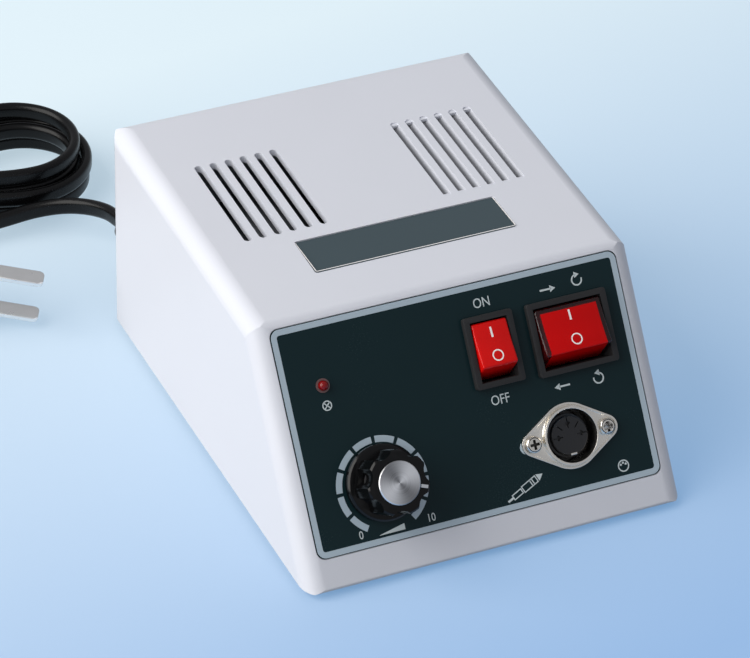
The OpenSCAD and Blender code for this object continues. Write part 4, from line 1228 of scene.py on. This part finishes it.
# The socket: its screws' rims and crosses, its insert as (radius, height) points, its openings and key
SCREW_RIM = 2.2
SCREW_ROUND = 0.9
CROSS_R = 2
CROSS_HEIGHTS = (1.2, 2.25)
INSERT_TOP = 1
INSERT_FACE = [(0, INSERT_TOP), (5.2, INSERT_TOP), (5.4, 0.8), (5.5, -0.6), (6.05, -0.8)]
INSERT_STEM = [(6.05, -6.9), (7.4, -6.9), (7.4, -8.9), (0, -8.9)]
SLIT_LENGTHS = (1.9, 3.0)
SLIT_W = 0.3
SLIT_DEPTH = 1.6
SLIT_AT = 3.6
OPENING_R = 0.85
OPENING_AT = 3.5
KEY_SIZE = (1.9, 0.6, 0.5)
KEY_AT = (0, -5.1, 1.1)


class MICROMOTOR_OT_socket(bpy.types.Operator):
    """Rounds the socket's flange and screws, and moulds its insert with the contact openings"""

    bl_idname = "micromotor.socket"
    bl_label = "Motor socket"

    def execute(self, context):
        spot = panel_spot(*SOCKET_AT, -FILM_PROUD)
        flange = node_copy("socket_flange")
        round_edges(flange, 0.15 * MM, 3)
        settle(flange, "socket_shell", "housing", "socket_nickel", ["socket_flange"])
        self.screws(spot.inverted())

        insert = lathe(in_mm(INSERT_FACE + INSERT_STEM), 64)
        cutters = []
        for angle in range(0, 181, 45):
            turn = Matrix.Rotation(math.radians(angle), 4, "Z")
            slit = SLIT_LENGTHS[angle % 90 == 0]
            block((slit, SLIT_W, SLIT_DEPTH), (SLIT_AT, 0, INSERT_TOP))
            cutters.append(put(close_shape(), turn))
            if angle % 90 == 0:
                at = (OPENING_AT * MM, 0, INSERT_TOP * MM)
                add("cylinder", vertices=4, radius=OPENING_R * MM, depth=SLIT_DEPTH * MM, location=at)
                cutters.append(put(close_shape(), turn))
        cutter = joined(*cutters)
        modify(insert, "BOOLEAN", object=cutter, operation="DIFFERENCE", solver="EXACT", use_self=True)
        bpy.data.objects.remove(cutter)
        settle(put(insert, spot), "socket_face", "housing", "socket_black", ["socket_insert"])

        block(KEY_SIZE, KEY_AT)
        key = close_shape()
        round_edges(key, 0.15 * MM, 2)
        settle(put(key, spot), "socket_key", "housing", "socket_nickel")
        return {"FINISHED"}

    def screws(self, to_panel):
        """Rounds the rims of the two screw heads and paints shade into the crosses in them with a darker metal."""

        def from_screw(at):
            """Distance from a screw's axis and height over the panel, in mm."""
            x, y, height = (to_panel @ at) / MM
            return math.hypot(abs(x) - SCREW_REACH, y), height

        screws = node_copy("socket_screws")
        bpy.ops.object.mode_set(mode="EDIT")
        pick("EDGE", lambda at: min(from_screw(at)) > SCREW_RIM)
        bpy.ops.mesh.bevel(offset=SCREW_ROUND * MM, segments=5, affect="EDGES")
        settle(close_shape(), "socket_screw_heads", "housing", "socket_nickel", ["socket_screws"])
        # painted shade: the faces inside the crosses get a darker metal
        screws.data.materials.append(finish("contact_dark"))
        low, high = CROSS_HEIGHTS
        for face in screws.data.polygons:
            reach, height = from_screw(face.center)
            face.material_index = int(reach < CROSS_R and low < height < high)


class MICROMOTOR_OT_finishes(bpy.types.Operator):
    """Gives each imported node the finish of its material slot"""

    bl_idname = "micromotor.finishes"
    bl_label = "Finishes"

    def execute(self, context):
        make_finishes()
        for name, node in frame["nodes"].items():
            node.data.materials.clear()
            node.data.materials.append(finish(SLOTS[name]))
        return {"FINISHED"}


class MICROMOTOR_PT_sidebar(bpy.types.Panel):
    """Lists the settings and the pieces"""

    bl_idname = "MICROMOTOR_PT_sidebar"
    bl_label = "Micromotor"
    bl_space_type = "VIEW_3D"
    bl_region_type = "UI"
    bl_category = "Micromotor"

    def draw(self, context):
        for settings in (context.scene.micromotor_sizes, context.scene.micromotor_looks):
            for name in settings.bl_rna.properties.keys():
                if name not in {"rna_type", "name"}:
                    self.layout.prop(settings, name)
        for operator in OPERATORS:
            self.layout.operator(operator.bl_idname)


OPERATORS = (
    MICROMOTOR_OT_finishes,
    MICROMOTOR_OT_stage,
    MICROMOTOR_OT_gland,
    MICROMOTOR_OT_plug,
    MICROMOTOR_OT_tie,
    MICROMOTOR_OT_cord,
    MICROMOTOR_OT_print,
    MICROMOTOR_OT_rockers,
    MICROMOTOR_OT_plate,
    MICROMOTOR_OT_frames,
    MICROMOTOR_OT_knob,
    MICROMOTOR_OT_socket,
)
CLASSES = (MicromotorSizes, MicromotorLooks, *OPERATORS, MICROMOTOR_PT_sidebar)


def register():
    """Registers the settings, the operators and the sidebar."""
    for cls in CLASSES:
        bpy.utils.register_class(cls)
    bpy.types.Scene.micromotor_sizes = PointerProperty(type=MicromotorSizes)
    bpy.types.Scene.micromotor_looks = PointerProperty(type=MicromotorLooks)


def unregister():
    """Takes away what register added."""
    del bpy.types.Scene.micromotor_looks
    del bpy.types.Scene.micromotor_sizes
    for cls in reversed(CLASSES):
        bpy.utils.unregister_class(cls)


def main():
    """Makes every piece in order."""
    register()
    bpy.ops.micromotor.finishes()
    bpy.ops.micromotor.stage()
    bpy.ops.micromotor.gland()
    bpy.ops.micromotor.plug()
    bpy.ops.micromotor.tie()
    bpy.ops.micromotor.cord()
    bpy.ops.micromotor.print()
    bpy.ops.micromotor.rockers()
    bpy.ops.micromotor.plate()
    bpy.ops.micromotor.frames()
    bpy.ops.micromotor.knob()
    bpy.ops.micromotor.socket()


if __name__ == "__main__":
    main()
